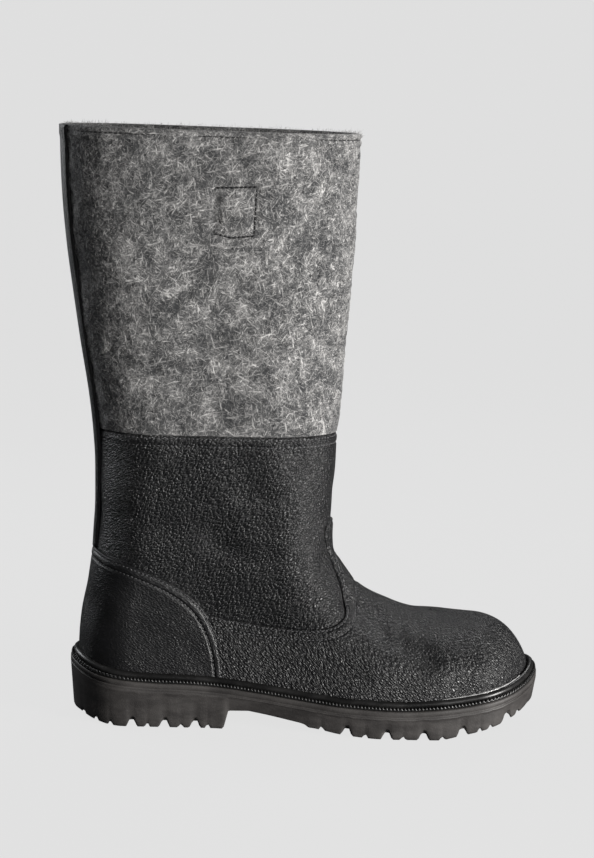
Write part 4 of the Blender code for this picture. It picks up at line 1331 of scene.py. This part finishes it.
@dataclass
class SoleUnit:
    """Moulded sole: tread with lugs, channels and arch, notched wall and slot under the lip."""

    steps: int = 330
    across: int = 44
    lip_band: float = 0.004
    wall_taper: float = 0.0022
    slot_depth: float = 0.0016
    groove_width: float = 0.0070
    groove_root: float = 0.0030
    groove_depth: float = 0.0042
    channel_width: float = 0.0032
    channel_depth: float = 0.0030
    heel_channel: float = 0.013
    fore_channel: float = 0.017
    heel_grooves: tuple = (0.1215, 0.1938, 0.2612)
    fore_grooves: tuple = (0.5953, 0.6833, 0.7643, 0.8495, 0.9490)
    small_notches: tuple = (
        0.010, 0.040, 0.073, 0.156, 0.230, 0.290, 0.540, 0.637, 0.720, 0.806, 0.888, 0.912, 0.975,
    )
    notch_reach: float = 0.0016
    notch_slope: float = 0.0009
    notch_depth: float = 0.0021
    recess_reach: float = 0.0017
    recess_height: float = 0.0030
    recess_depth: float = 0.0013
    foot_round: float = 0.0010
    # share of the slot's depth, height over the slot
    slot_section: tuple = (
        (0.6, 0.0001), (1.0, 0.0003), (1.0, 0.0007), (0.4, 0.0010), (0.0, 0.0012), (0.0, 0.0022),
        (0.0, 0.0031), (-0.1, 0.0036),
    )
    # station, share of the arch height
    arch_line: tuple = ((0.3240, 0.0), (0.3345, 0.955), (0.3800, 1.000), (0.4218, 0.850), (0.4916, 0.570),
                        (0.5038, 0.500), (0.5108, 0.370), (0.5112, 0.0))

    def tread(self, x: Array, side: Array) -> Array:
        """Height of the tread at x, where side is -1 and 1 at its two edges.

        The highest of the plain tread with its grooves, the channels and the arch, plus small
        notches that fade inwards from both edges.

        Args:
            x: places along the boot.
            side: place across the tread.

        Returns:
            The height at each place.
        """
        low = FORM.sole_bottom(x)
        slope = (self.groove_width - self.groove_root) / 2
        rise = np.zeros_like(x)
        for station in self.heel_grooves + self.fore_grooves:
            off = np.abs(x - FORM.x_of(station))
            rise = np.maximum(rise, np.clip((self.groove_width / 2 - off) / slope, 0, 1) * self.groove_depth)
        for station in self.small_notches:
            off = np.abs(x - FORM.x_of(station))
            notch = np.clip((self.notch_reach - off) / self.notch_slope, 0, 1) * self.notch_depth
            rise = np.maximum(rise, notch * ease(np.abs(side), 0.80, 0.88))
        table = np.array(self.arch_line)
        arch = np.interp(FORM.station_of(x), table[:, 0], table[:, 1], 0.0, 0.0) * FORM.arch_height
        return np.maximum(low + rise, arch)

    def channels(self, x: Array, y: Array) -> Array:
        """Extra rise of the two channels that run along heel and forefoot.

        Args:
            x: places along the boot.
            y: places across it.

        Returns:
            The rise at each place.
        """
        at = FORM.station_of(x)
        middle = FORM.middle(x, np.zeros_like(x))
        rise = np.zeros_like(x)
        for offset, here in ((self.heel_channel, at < 0.327), (self.fore_channel, at > 0.505)):
            off = np.abs(np.abs(y - middle) - offset)
            channel = np.clip((self.channel_width / 2 + 0.0005 - off) / 0.0006, 0, 1) * self.channel_depth
            rise = np.maximum(rise, np.where(here, channel, 0.0))
        return rise

    def recess(self, x: Array, over: Array) -> Array:
        """Small recesses in the wall, round the upper ends of the grooves.

        Args:
            x: places along the boot.
            over: heights over the plain tread.

        Returns:
            Share of the recess's full depth, a clipped ellipse round each groove's root.
        """
        found = np.zeros_like(x)
        for station in self.heel_grooves + self.fore_grooves:
            off = np.abs(x - FORM.x_of(station)) / self.recess_reach
            rise = np.clip((over - self.groove_depth) / self.recess_height, 0, 1)
            found = np.maximum(found, np.clip(1.35 - off**2 - rise**2 * 1.5, 0, 0.5) * 2)
        return found

    def levels(self, ring: Array, normal: Array) -> Array:
        """Loops round the sole: up its wall, through the slot, over the lip and on to the upper face.

        Args:
            ring: outline of the foot on the sole's upper face.
            normal: its sideways normals.

        Returns:
            Points, as loops by ring points by 3.
        """
        form = FORM
        skin = form.gap + form.overlay
        lip = skin + form.lip_reach
        along = form.station_of(ring[:, 0])
        at_ends = np.maximum(1 - ease(along, 0.0, 0.10), ease(along, 0.90, 1.0))
        bottom_x = ring[:, 0] + normal[:, 0] * (lip - self.wall_taper)
        bottom = self.tread(bottom_x, np.ones(len(ring)))
        slot = form.sole_top(ring[:, 0]) - self.lip_band
        loops = []

        def loop(reach: Array, z: Array) -> None:
            """Add a loop at a reach from the ring and at a height."""
            xy = ring[:, :2] + normal[:, :2] * np.broadcast_to(reach, z.shape)[:, None]
            loops.append(np.column_stack([xy, z]))

        shares = np.concatenate([[0.0, 0.02, 0.05], np.linspace(0.09, 0.90, 20), np.linspace(0.92, 1.0, 6)])
        for share in shares:
            z = bottom + (slot - bottom) * share
            foot = 1 - np.sqrt(1 - (1 - min(share / 0.09, 1.0)) ** 2)
            inset = self.wall_taper * (1 - share) + self.foot_round * foot
            recess = self.recess(bottom_x, z - form.sole_bottom(bottom_x))
            raised = 0.00035 * math.exp(-(((share - 0.90) / 0.035) ** 2))
            loop(lip - inset - recess * self.recess_depth * (share < 0.9) + raised * (1 - at_ends), z)
        for depth, over in self.slot_section:
            rolled = 0.0 if depth >= 0 else -0.0003
            loop(lip - self.slot_depth * depth * (0.12 + 0.88 * at_ends) + rolled, slot + over)
        for reach in (lip - 0.0008, skin, -form.leather_wall):
            loop(reach, slot + self.lip_band)
        return np.array(loops)

    def build(self) -> None:
        """Wall, then the tread as a ladder between its two sides, then the upper face."""
        grid = self.levels(*FORM.ring(0.0, self.steps))
        half = grid.shape[1] // 2
        outer = grid[0, : half + 1]
        inner = np.concatenate([grid[0, :1], grid[0, half:][::-1]])
        cross = np.linspace(0, 1, self.across + 1)
        cross = (cross + 1.2 * (cross - 0.5) * cross * (1 - cross) * -1)[:, None, None]
        flat = outer[None] * (1 - cross) + inner[None] * cross
        inside = self.tread(flat[..., 0], (2 * cross[..., 0] - 1) * np.ones(half + 1))
        channel = self.channels(flat[..., 0], flat[..., 1])
        edge = np.minimum(cross[..., 0], 1 - cross[..., 0]) * np.linalg.norm(outer - inner, axis=1)
        flat[..., 2] = inside + channel * (edge > 0.004)
        flat[0], flat[-1] = outer, inner
        upper_face = np.stack([grid[-1, : half + 1], np.concatenate([grid[-1, :1], grid[-1, half:][::-1]])])
        parts = [Mesh.sheet(grid, wrap_columns=True), Mesh.sheet(flat, turned=True), Mesh.sheet(upper_face)]
        joined(parts).made("sole_unit", MouldedRubber(), "sole_rubber", "outsole", 2e-6)


@dataclass
class Welt:
    """Strip on the sole's lip: glossy bead that hugs the leather, groove and toothed ledge."""

    steps: int = 300
    teeth_pitch: float = 0.0022
    tooth_samples: int = 7
    tooth_rise: float = 0.0013
    # Height and radius of the pale cement line whose colour paints a highlight in the joint.
    highlight_glue_level: float = 0.0052
    highlight_glue_radius: float = 0.00065

    def build(self) -> None:
        """Profile carried round the foot; the ledge's teeth follow the length round the foot."""
        form = FORM
        ring, normal = form.ring(form.gap, self.steps)
        closed_ring = np.vstack([ring, ring[:1]])
        known = lengths_of(closed_ring)
        teeth = int(known[-1] / self.teeth_pitch)
        samples = teeth * self.tooth_samples
        at = np.arange(samples) / samples * known[-1]
        point = at_lengths(closed_ring, at)
        out = values_at(np.vstack([normal, normal[:1]]), known, at)
        out /= np.linalg.norm(out, axis=1, keepdims=True)
        tooth = 0.5 + 0.5 * np.cos(2 * math.pi * np.arange(samples) / self.tooth_samples)
        tooth = ease(tooth, 0.15, 0.75)
        base = form.gap + form.overlay + form.gap
        edge = form.gap + form.overlay + form.lip_reach - 0.0004
        # offset from the leather, height, share of the tooth in height
        section = ((base - 0.0006, 0.0, 0.0), (edge, 0.0, 0.0), (edge, 0.0007, 0.3),
                   (edge - 0.0002, 0.0010, 0.9),
                   (edge - 0.0009, 0.0011, 1.0), (edge - 0.0014, 0.0008, 0.5), (base + 0.0025, 0.0004, 0.0),
                   (base + 0.0024, 0.0016, 0.0), (base + 0.0031, 0.0023, 0.0), (base + 0.0033, 0.0032, 0.0),
                   (base + 0.0028, 0.0044, 0.0), (base + 0.0019, 0.0051, 0.0), (base + 0.0008, 0.0053, 0.0),
                   (base - 0.0004, 0.0046, 0.0), (base - 0.0006, 0.0030, 0.0))
        loops = []
        for reach, height, share in section:
            loop = point + out * reach
            loop[:, 2] += height + self.tooth_rise * share * tooth
            loops.append(loop)
        Mesh.sheet(np.array(loops), True, True).made(
            "welt_bead", MouldedRubber((0.004, 0.004, 0.004), (0.018, 0.0175, 0.0175), 0.30, 0.00005),
            "bead_rubber", "welt")
        self.glue_highlight(ring, normal)

    def glue_highlight(self, ring: Array, normal: Array) -> None:
        """Glossy line of cement in the joint at the toe's outer side, uneven along its length; its pale grey
        colour is a painted highlight.

        Args:
            ring: outline of the foot.
            normal: its sideways normals.
        """
        form = FORM
        x, y, z = ring.T
        chosen = (x > form.x_of(0.80)) & (x < form.x_of(0.975)) & (y < form.middle(x, z))
        path = ring[chosen] + normal[chosen] * (form.gap + form.overlay + 0.0004)
        path[:, 2] += self.highlight_glue_level
        share = np.linspace(0, 1, len(path))
        uneven = (1 + 0.3 * np.sin(share * 47)) * (share > 0) * (share < 1)
        radius = self.highlight_glue_radius * np.sin(share * math.pi) ** 0.5 * uneven
        # Light grey glossy tube: its pale colour is a painted highlight along the joint.
        tubes(path[None], radius[None], 8).made(
            "glue_highlight_line", TwistedThread((0.20, 0.20, 0.20), (0.42, 0.42, 0.42), 0.16), "bead_rubber")


@dataclass
class Sock:
    """Insole with its fleece face, inside the foot."""

    steps: int = 150
    across: int = 24
    thickness: float = 0.004
    clearance: float = 0.0009
    dish: float = 0.0006

    def build(self) -> None:
        """Ring loops for the edge and a ladder across for both faces, slightly cupped."""
        form = FORM
        ring, normal = form.ring(form.gap + self.thickness, self.steps)
        half = len(ring) // 2
        layers = []
        # height, inset
        section = ((0.0, 0.0), (0.0008, -0.0003), (self.thickness - 0.0012, -0.0003),
                   (self.thickness, 0.0006))
        for rise, inset in section:
            loop = ring + normal * (-(form.leather_wall + self.clearance) - inset)
            loop[:, 2] = form.sole_top(ring[:, 0]) + form.gap + rise
            layers.append(loop)
        grid = np.array(layers)
        parts = [Mesh.sheet(grid, wrap_columns=True)]
        for level, turned in ((0, True), (-1, False)):
            outer = grid[level, : half + 1]
            inner = np.concatenate([grid[level, :1], grid[level, half:][::-1]])
            cross = np.linspace(0, 1, self.across + 1)[:, None, None]
            flat = outer[None] * (1 - cross) + inner[None] * cross
            if not turned:
                flat[..., 2] -= self.dish * np.sin(cross[..., 0] * math.pi)
            parts.append(Mesh.sheet(flat, turned=turned))
        fleece = WoolFelt((0.10, 0.095, 0.09), (0.42, 0.40, 0.37))
        joined(parts).made("sock_insole", fleece, "insole_felt", "insole", 2e-6)


@dataclass
class Stitching:
    """Thread that shows on the surface: joined capsules along every seam."""

    thread: float = 0.00036
    share: float = 0.74
    sides: int = 6
    dip: float = 0.9

    def along(self, path: Array, normals: Array, pitch: float) -> Mesh:
        """Row of stitches along a path on the surface.

        Args:
            path: points of the seam, dense.
            normals: outward normal at each point.
            pitch: length from stitch to stitch.

        Returns:
            Capsules: each one's radius follows the root of 1 - t^4 and its ends dip into the leather.
        """
        known = lengths_of(path)
        count = max(1, int(known[-1] / pitch))
        t = np.linspace(-1, 1, 7)
        at = (np.arange(count)[:, None] + 0.5 + t[None] * self.share / 2) * known[-1] / count
        centre, up = values_at(path, known, at), values_at(normals, known, at)
        up /= np.linalg.norm(up, axis=-1, keepdims=True)
        centre = centre - up * (self.thread * self.dip * t**4)[None, :, None]
        radius = np.broadcast_to(self.thread * np.sqrt(np.clip(1 - t**4, 0, 1)), at.shape)
        return tubes(centre, radius, self.sides, up)

    def on_boot(self, view: Array, lift: float, pitch: float) -> Mesh:
        """Stitches along a side-view line, on both sides of the boot.

        Args:
            view: points (x, z) of the line, of which the first run inside the outline is sewn.
            lift: height of the thread's middle over the surface.
            pitch: length from stitch to stitch.

        Returns:
            The mesh of both rows.
        """
        line = at_shares(view, end_spaced(400))
        keep = FORM.square(line[:, 0], line[:, 1]) > 2.5e-5
        first = int(np.argmax(keep))
        keep[first + int(np.argmin(np.append(keep[first:], False))) :] = False
        rows = []
        for side in (-1, 1):
            points, normals = FORM.on_skin(line[keep], side)
            rise = (lift + Quarters().relief(points) * (points[:, 2] < FORM.seam_height))[:, None]
            rows.append(self.along(points + normals * rise, normals, pitch))
        return joined(rows)

    def panel(self, panel: Panel) -> None:
        """Both rows beside a panel's edge, on its right."""
        lift = FORM.overlay + FORM.gap + panel.lift + 0.0003
        rows = [self.on_boot(beside(panel.edge, -seam.inset), lift - seam.sunk, seam.pitch)
                for seam in panel.seams]
        joined(rows).made(panel.name.replace("leather", "stitches"), TwistedThread(), "leather")

    def level(self, name: str, seams: tuple, lift: float, top: float, slot: str,
              finish: TwistedThread) -> None:
        """Rows that run level round the leg, under its seam or its collar.

        Args:
            name: name of the piece.
            seams: rows, each at its inset under the top.
            lift: height of the sewn face over the boot's surface.
            top: height that the insets count from.
            slot: material slot of the record.
            finish: look of the thread.
        """
        rows = []
        for seam in seams:
            ends = level_rows(np.array([top - seam.inset]), np.linspace(0, 1, 2))[0]
            rows.append(self.on_boot(ends, lift - seam.sunk + 0.0004, seam.pitch))
        joined(rows).made(name, finish, slot)

    def build(self, vamp: Panel, counter: Panel, shaft: FeltShaft, stay: BackStay,
              quarters: Quarters) -> None:
        """All rows of thread on the boot.

        Args:
            vamp: panel with its seams.
            counter: panel with its seams.
            shaft: felt shaft with its hem and box.
            stay: back stay with its seam.
            quarters: leather with the seams under its top edge.
        """
        form, black = FORM, TwistedThread()
        self.panel(vamp)
        self.panel(counter)
        self.level("seam_stitches", quarters.seams, 0.0, form.seam_height, "leather", black)
        felt_thread = TwistedThread((0.004, 0.004, 0.005), (0.02, 0.02, 0.021), 0.7)
        hem = Seam(shaft.topstitch, 0.0034, 0.0009)
        self.level("hem_stitches", (hem,), shaft.hem_swell, form.boot_height, "felt", felt_thread)
        box = at_shares(shaft.box(), np.linspace(0, 1, 500))
        points, normals = form.on_skin(box, -1)
        lift = (shaft.relief(points) + 0.0006)[:, None]
        thick = Stitching(thread=0.00062, share=0.88)
        thick.along(points + normals * lift, normals, 0.0028).made("box_stitches", felt_thread, "felt")
        z = np.linspace(form.throat_height * 0.93, form.boot_height - 0.002, 300)
        line = stay.side_point(z, stay.half_width(z) - stay.seam.inset)
        rows = []
        for side in (-1, 1):
            points, normals = form.on_skin(line, side)
            rows.append(self.along(points + normals * (stay.thickness - 0.0001), normals, stay.seam.pitch))
        joined(rows).made("stay_stitches", black, "leather")


@dataclass
class Fibres:
    """Loose wool fibres that lie on the felt and stand out of its hem."""

    count: int = 8000
    seed: int = 21
    steps: int = 5
    collar_count: int = 1500
    collar_radius: float = 0.00006

    def strands(self, count: int, seed: int, low: float, high: float, lift: float, length: tuple) -> tuple:
        """Curved fibres that lie on the felt.

        Each fibre starts at a random place of the side view and turns at a steady pace there.
        Its middle stands a little off the surface.

        Args:
            count: fibres.
            seed: seed of the random numbers.
            low: lowest height.
            high: greatest height.
            lift: height of the middle over the surface.
            length: shortest and longest fibre.

        Returns:
            Points of the fibres and their normals.
        """
        draw = np.random.default_rng(seed)
        z = draw.uniform(low, high, count)
        share = (1 - np.cos(draw.uniform(0.12, math.pi - 0.12, count))) / 2
        back = FORM.back_x(z)
        x = back + (FORM.shin_x(z) - back) * share
        side = draw.choice([-1.0, 1.0], count)
        aim, curl = draw.uniform(0, 2 * math.pi, count), draw.normal(0, 260, count)
        span = draw.uniform(*length, count)
        t = np.linspace(0, 1, self.steps)
        turn = aim[:, None] + curl[:, None] * span[:, None] * t
        step = span[:, None] / (self.steps - 1)
        view = np.stack([x[:, None] + np.cumsum(np.cos(turn) * step, 1),
                         z[:, None] + np.cumsum(np.sin(turn) * step, 1)], -1)
        view[..., 1] = np.clip(view[..., 1], FORM.seam_height + 0.001, FORM.boot_height - 0.0035)
        points, normals = FORM.on_skin(view, np.broadcast_to(side[:, None], view.shape[:-1]))
        keep = (FORM.square(view[..., 0], view[..., 1]) > 2e-5).all(1)
        return points[keep], normals[keep], t, lift * draw.uniform(0.5, 1.5, count)[keep]

    def build(self, shaft: FeltShaft) -> None:
        """Light and dark fibres, each kind one mesh, and a fuzzy collar.

        Args:
            shaft: the felt that they lie on.
        """
        low, high = FORM.seam_height + 0.001, FORM.boot_height - 0.004
        # name, count, seed, rise of the middle, shortest and longest, radius, finish
        kinds = (
            ("felt_fibres_light", self.count, self.seed, 0.00022, (0.0012, 0.0036), 0.00009,
             TwistedThread((0.22, 0.215, 0.21), (0.46, 0.45, 0.44), 0.9)),
            ("felt_fibres_dark", self.count // 2, self.seed + 1, 0.00016, (0.0012, 0.0036), 0.00012,
             TwistedThread((0.015, 0.015, 0.016), (0.045, 0.045, 0.048), 0.9)),
        )
        for name, count, seed, lift, length, radius, finish in kinds:
            points, normals, t, lifts = self.strands(count, seed, low, high, lift, length)
            arch = np.sin(t * math.pi)[None] * lifts[:, None]
            height = shaft.relief(points) + arch + radius * 0.3
            thin = radius * np.sqrt(np.clip(np.sin(t * math.pi), 0, 1))
            tubes(points + normals * height[..., None], np.broadcast_to(thin, arch.shape), 3, normals).made(
                name, finish, "felt")
        self.collar()

    def collar(self) -> None:
        """Short fibres that stand out of the collar's round rim."""
        draw = np.random.default_rng(self.seed + 2)
        heights = FORM.boot_height - np.array([0.004, 0.0005])
        points, normals = both_sides(level_rows(heights, end_spaced(201)))
        count = self.collar_count
        at = draw.integers(0, points.shape[1], count)
        turn = draw.uniform(-0.2, math.pi, count)[:, None]
        away = normals[1, at] * np.cos(turn) + np.array([0, 0, 1.0]) * np.sin(turn)
        root = points[1, at] - normals[1, at] * 0.0020 + away * 0.0022
        root[:, 2] -= 0.0017
        lean = draw.normal(0, 0.7, (count, 3))[:, None]
        t = np.linspace(0, 1, 5)[None, :, None]
        length = draw.uniform(0.0007, 0.0020, count)[:, None, None]
        path = root[:, None] + (away[:, None] * t + lean * t**2 * 0.7) * length
        radius = np.broadcast_to(self.collar_radius * np.array([0.0, 1.0, 1.0, 0.8, 0.0]), (count, 5))
        pale = TwistedThread((0.12, 0.12, 0.125), (0.40, 0.39, 0.38), 0.9)
        tubes(path, radius, 3).made("collar_fuzz", pale, "felt")


@dataclass
class Studio:
    """Pale floor and backdrop in one sheet, soft lights and the camera of the photograph."""

    camera_place: tuple = (0.0902, -1.40, 0.42)
    target: tuple = (0.0902, 0.0, 0.1874)
    roll: float = 0.0222
    lens: float = 93.65
    sensor: float = 36.0
    surround: float = 0.05
    floor_grey: float = 0.03
    floor_glow: float = 0.735
    floor_radius: float = 4.0
    wall_height: float = 5.0
    # name, place, target, size, power, colour
    lamps: tuple = (
        ("front_toe_softbox", (1.25, -0.84, 0.28), (0.10, 0.0, 0.12), 0.45, 44.0, (1.0, 0.985, 0.96)),
        ("back_rim_softbox", (-0.75, 0.45, 0.60), (0.02, 0.0, 0.22), 0.45, 5.0, (0.96, 0.98, 1.0)),
        ("top_softbox", (0.40, 0.85, 0.95), (0.12, 0.0, 0.08), 0.4, 3.5, (1.0, 1.0, 1.0)),
        ("camera_fill", (0.65, -1.40, 0.55), (0.09, 0.0, 0.22), 0.5, 2.5, (1.0, 1.0, 1.0)),
    )

    def camera(self) -> None:
        """Camera aimed at the boot's middle and rolled a little."""
        data = bpy.data.cameras.new("camera")
        data.sensor_fit, data.sensor_height, data.lens = "VERTICAL", self.sensor, self.lens
        made = bpy.data.objects.new("camera", data)
        bpy.context.scene.collection.objects.link(made)
        place = Vector(self.camera_place)
        aim = (Vector(self.target) - place).to_track_quat("-Z", "Y").to_matrix().to_4x4()
        roll = math.cos(self.roll), math.sin(self.roll)
        right, up = aim.col[0].copy(), aim.col[1].copy()
        aim.col[0], aim.col[1] = right * roll[0] + up * roll[1], up * roll[0] - right * roll[1]
        aim.translation = place
        made.matrix_world = aim
        bpy.context.scene.camera = made

    def lights(self) -> None:
        """Softboxes and an even pale surround."""
        for name, place, target, size, power, colour in self.lamps:
            data = bpy.data.lights.new(name, "AREA")
            data.size, data.energy, data.color = size, power, colour
            made = bpy.data.objects.new(name, data)
            bpy.context.scene.collection.objects.link(made)
            made.location = place
            made.rotation_euler = (Vector(target) - Vector(place)).to_track_quat("-Z", "Y").to_euler()
        world = bpy.data.worlds.new("surround")
        world.use_nodes = True
        sky = world.node_tree.nodes["Background"]
        sky.inputs["Color"].default_value = (0.95, 0.97, 1.0, 1.0)
        sky.inputs["Strength"].default_value = self.surround
        bpy.context.scene.world = world

    def floor(self) -> None:
        """Floor disc that rises into a round wall far from the boot."""
        turn = np.linspace(0, math.pi / 2, 12)
        flat = np.linspace(0.0, self.floor_radius, 14)
        radius = np.concatenate([flat, self.floor_radius + np.sin(turn), [self.floor_radius + 1]])[:, None]
        height = np.concatenate([np.zeros_like(flat), 1 - np.cos(turn), [self.wall_height]])[:, None]
        angle = np.linspace(0, 2 * math.pi, 96, endpoint=False)
        height = np.broadcast_to(height, (len(radius), len(angle)))
        grid = np.stack([radius * np.cos(angle), radius * np.sin(angle), height], -1)
        sheet = Mesh.sheet(grid, wrap_columns=True, turned=True)
        mesh = bpy.data.meshes.new("floor")
        mesh.from_pydata(sheet.points.tolist(), [], sheet.faces.tolist())
        mesh.shade_smooth()
        made = bpy.data.objects.new("floor", mesh)
        bpy.context.scene.collection.objects.link(made)
        grey = self.floor_grey
        finish = MouldedRubber((grey,) * 3, (grey * 1.02,) * 3, 0.9, 0.00001).material("floor_finish")
        shader = finish.node_tree.nodes["Principled BSDF"]
        shader.inputs["Specular IOR Level"].default_value = 0.0
        shader.inputs["Emission Color"].default_value = (1.0, 1.0, 1.0, 1.0)
        shader.inputs["Emission Strength"].default_value = self.floor_glow
        mesh.materials.append(finish)
        made.visible_glossy = made.visible_diffuse = False

    def build(self) -> None:
        """Camera, lights and floor, shown with the plain transform that keeps blacks deep."""
        bpy.context.scene.view_settings.view_transform = "Standard"
        self.camera()
        self.lights()
        self.floor()


def main() -> None:
    """Build the studio and the boot's pieces in order."""
    logging.basicConfig(level=logging.INFO, format="%(name)s: %(message)s")
    Studio().build()
    quarters, overlays, shaft, stay = Quarters(), Overlays(), FeltShaft(), BackStay()
    quarters.build()
    vamp, counter = overlays.vamp(), overlays.counter()
    shaft.build()
    stay.build()
    SoleUnit().build()
    Welt().build()
    Sock().build()
    Stitching().build(vamp, counter, shaft, stay, quarters)
    Fibres().build(shaft)


if __name__ == "__main__":
    main()
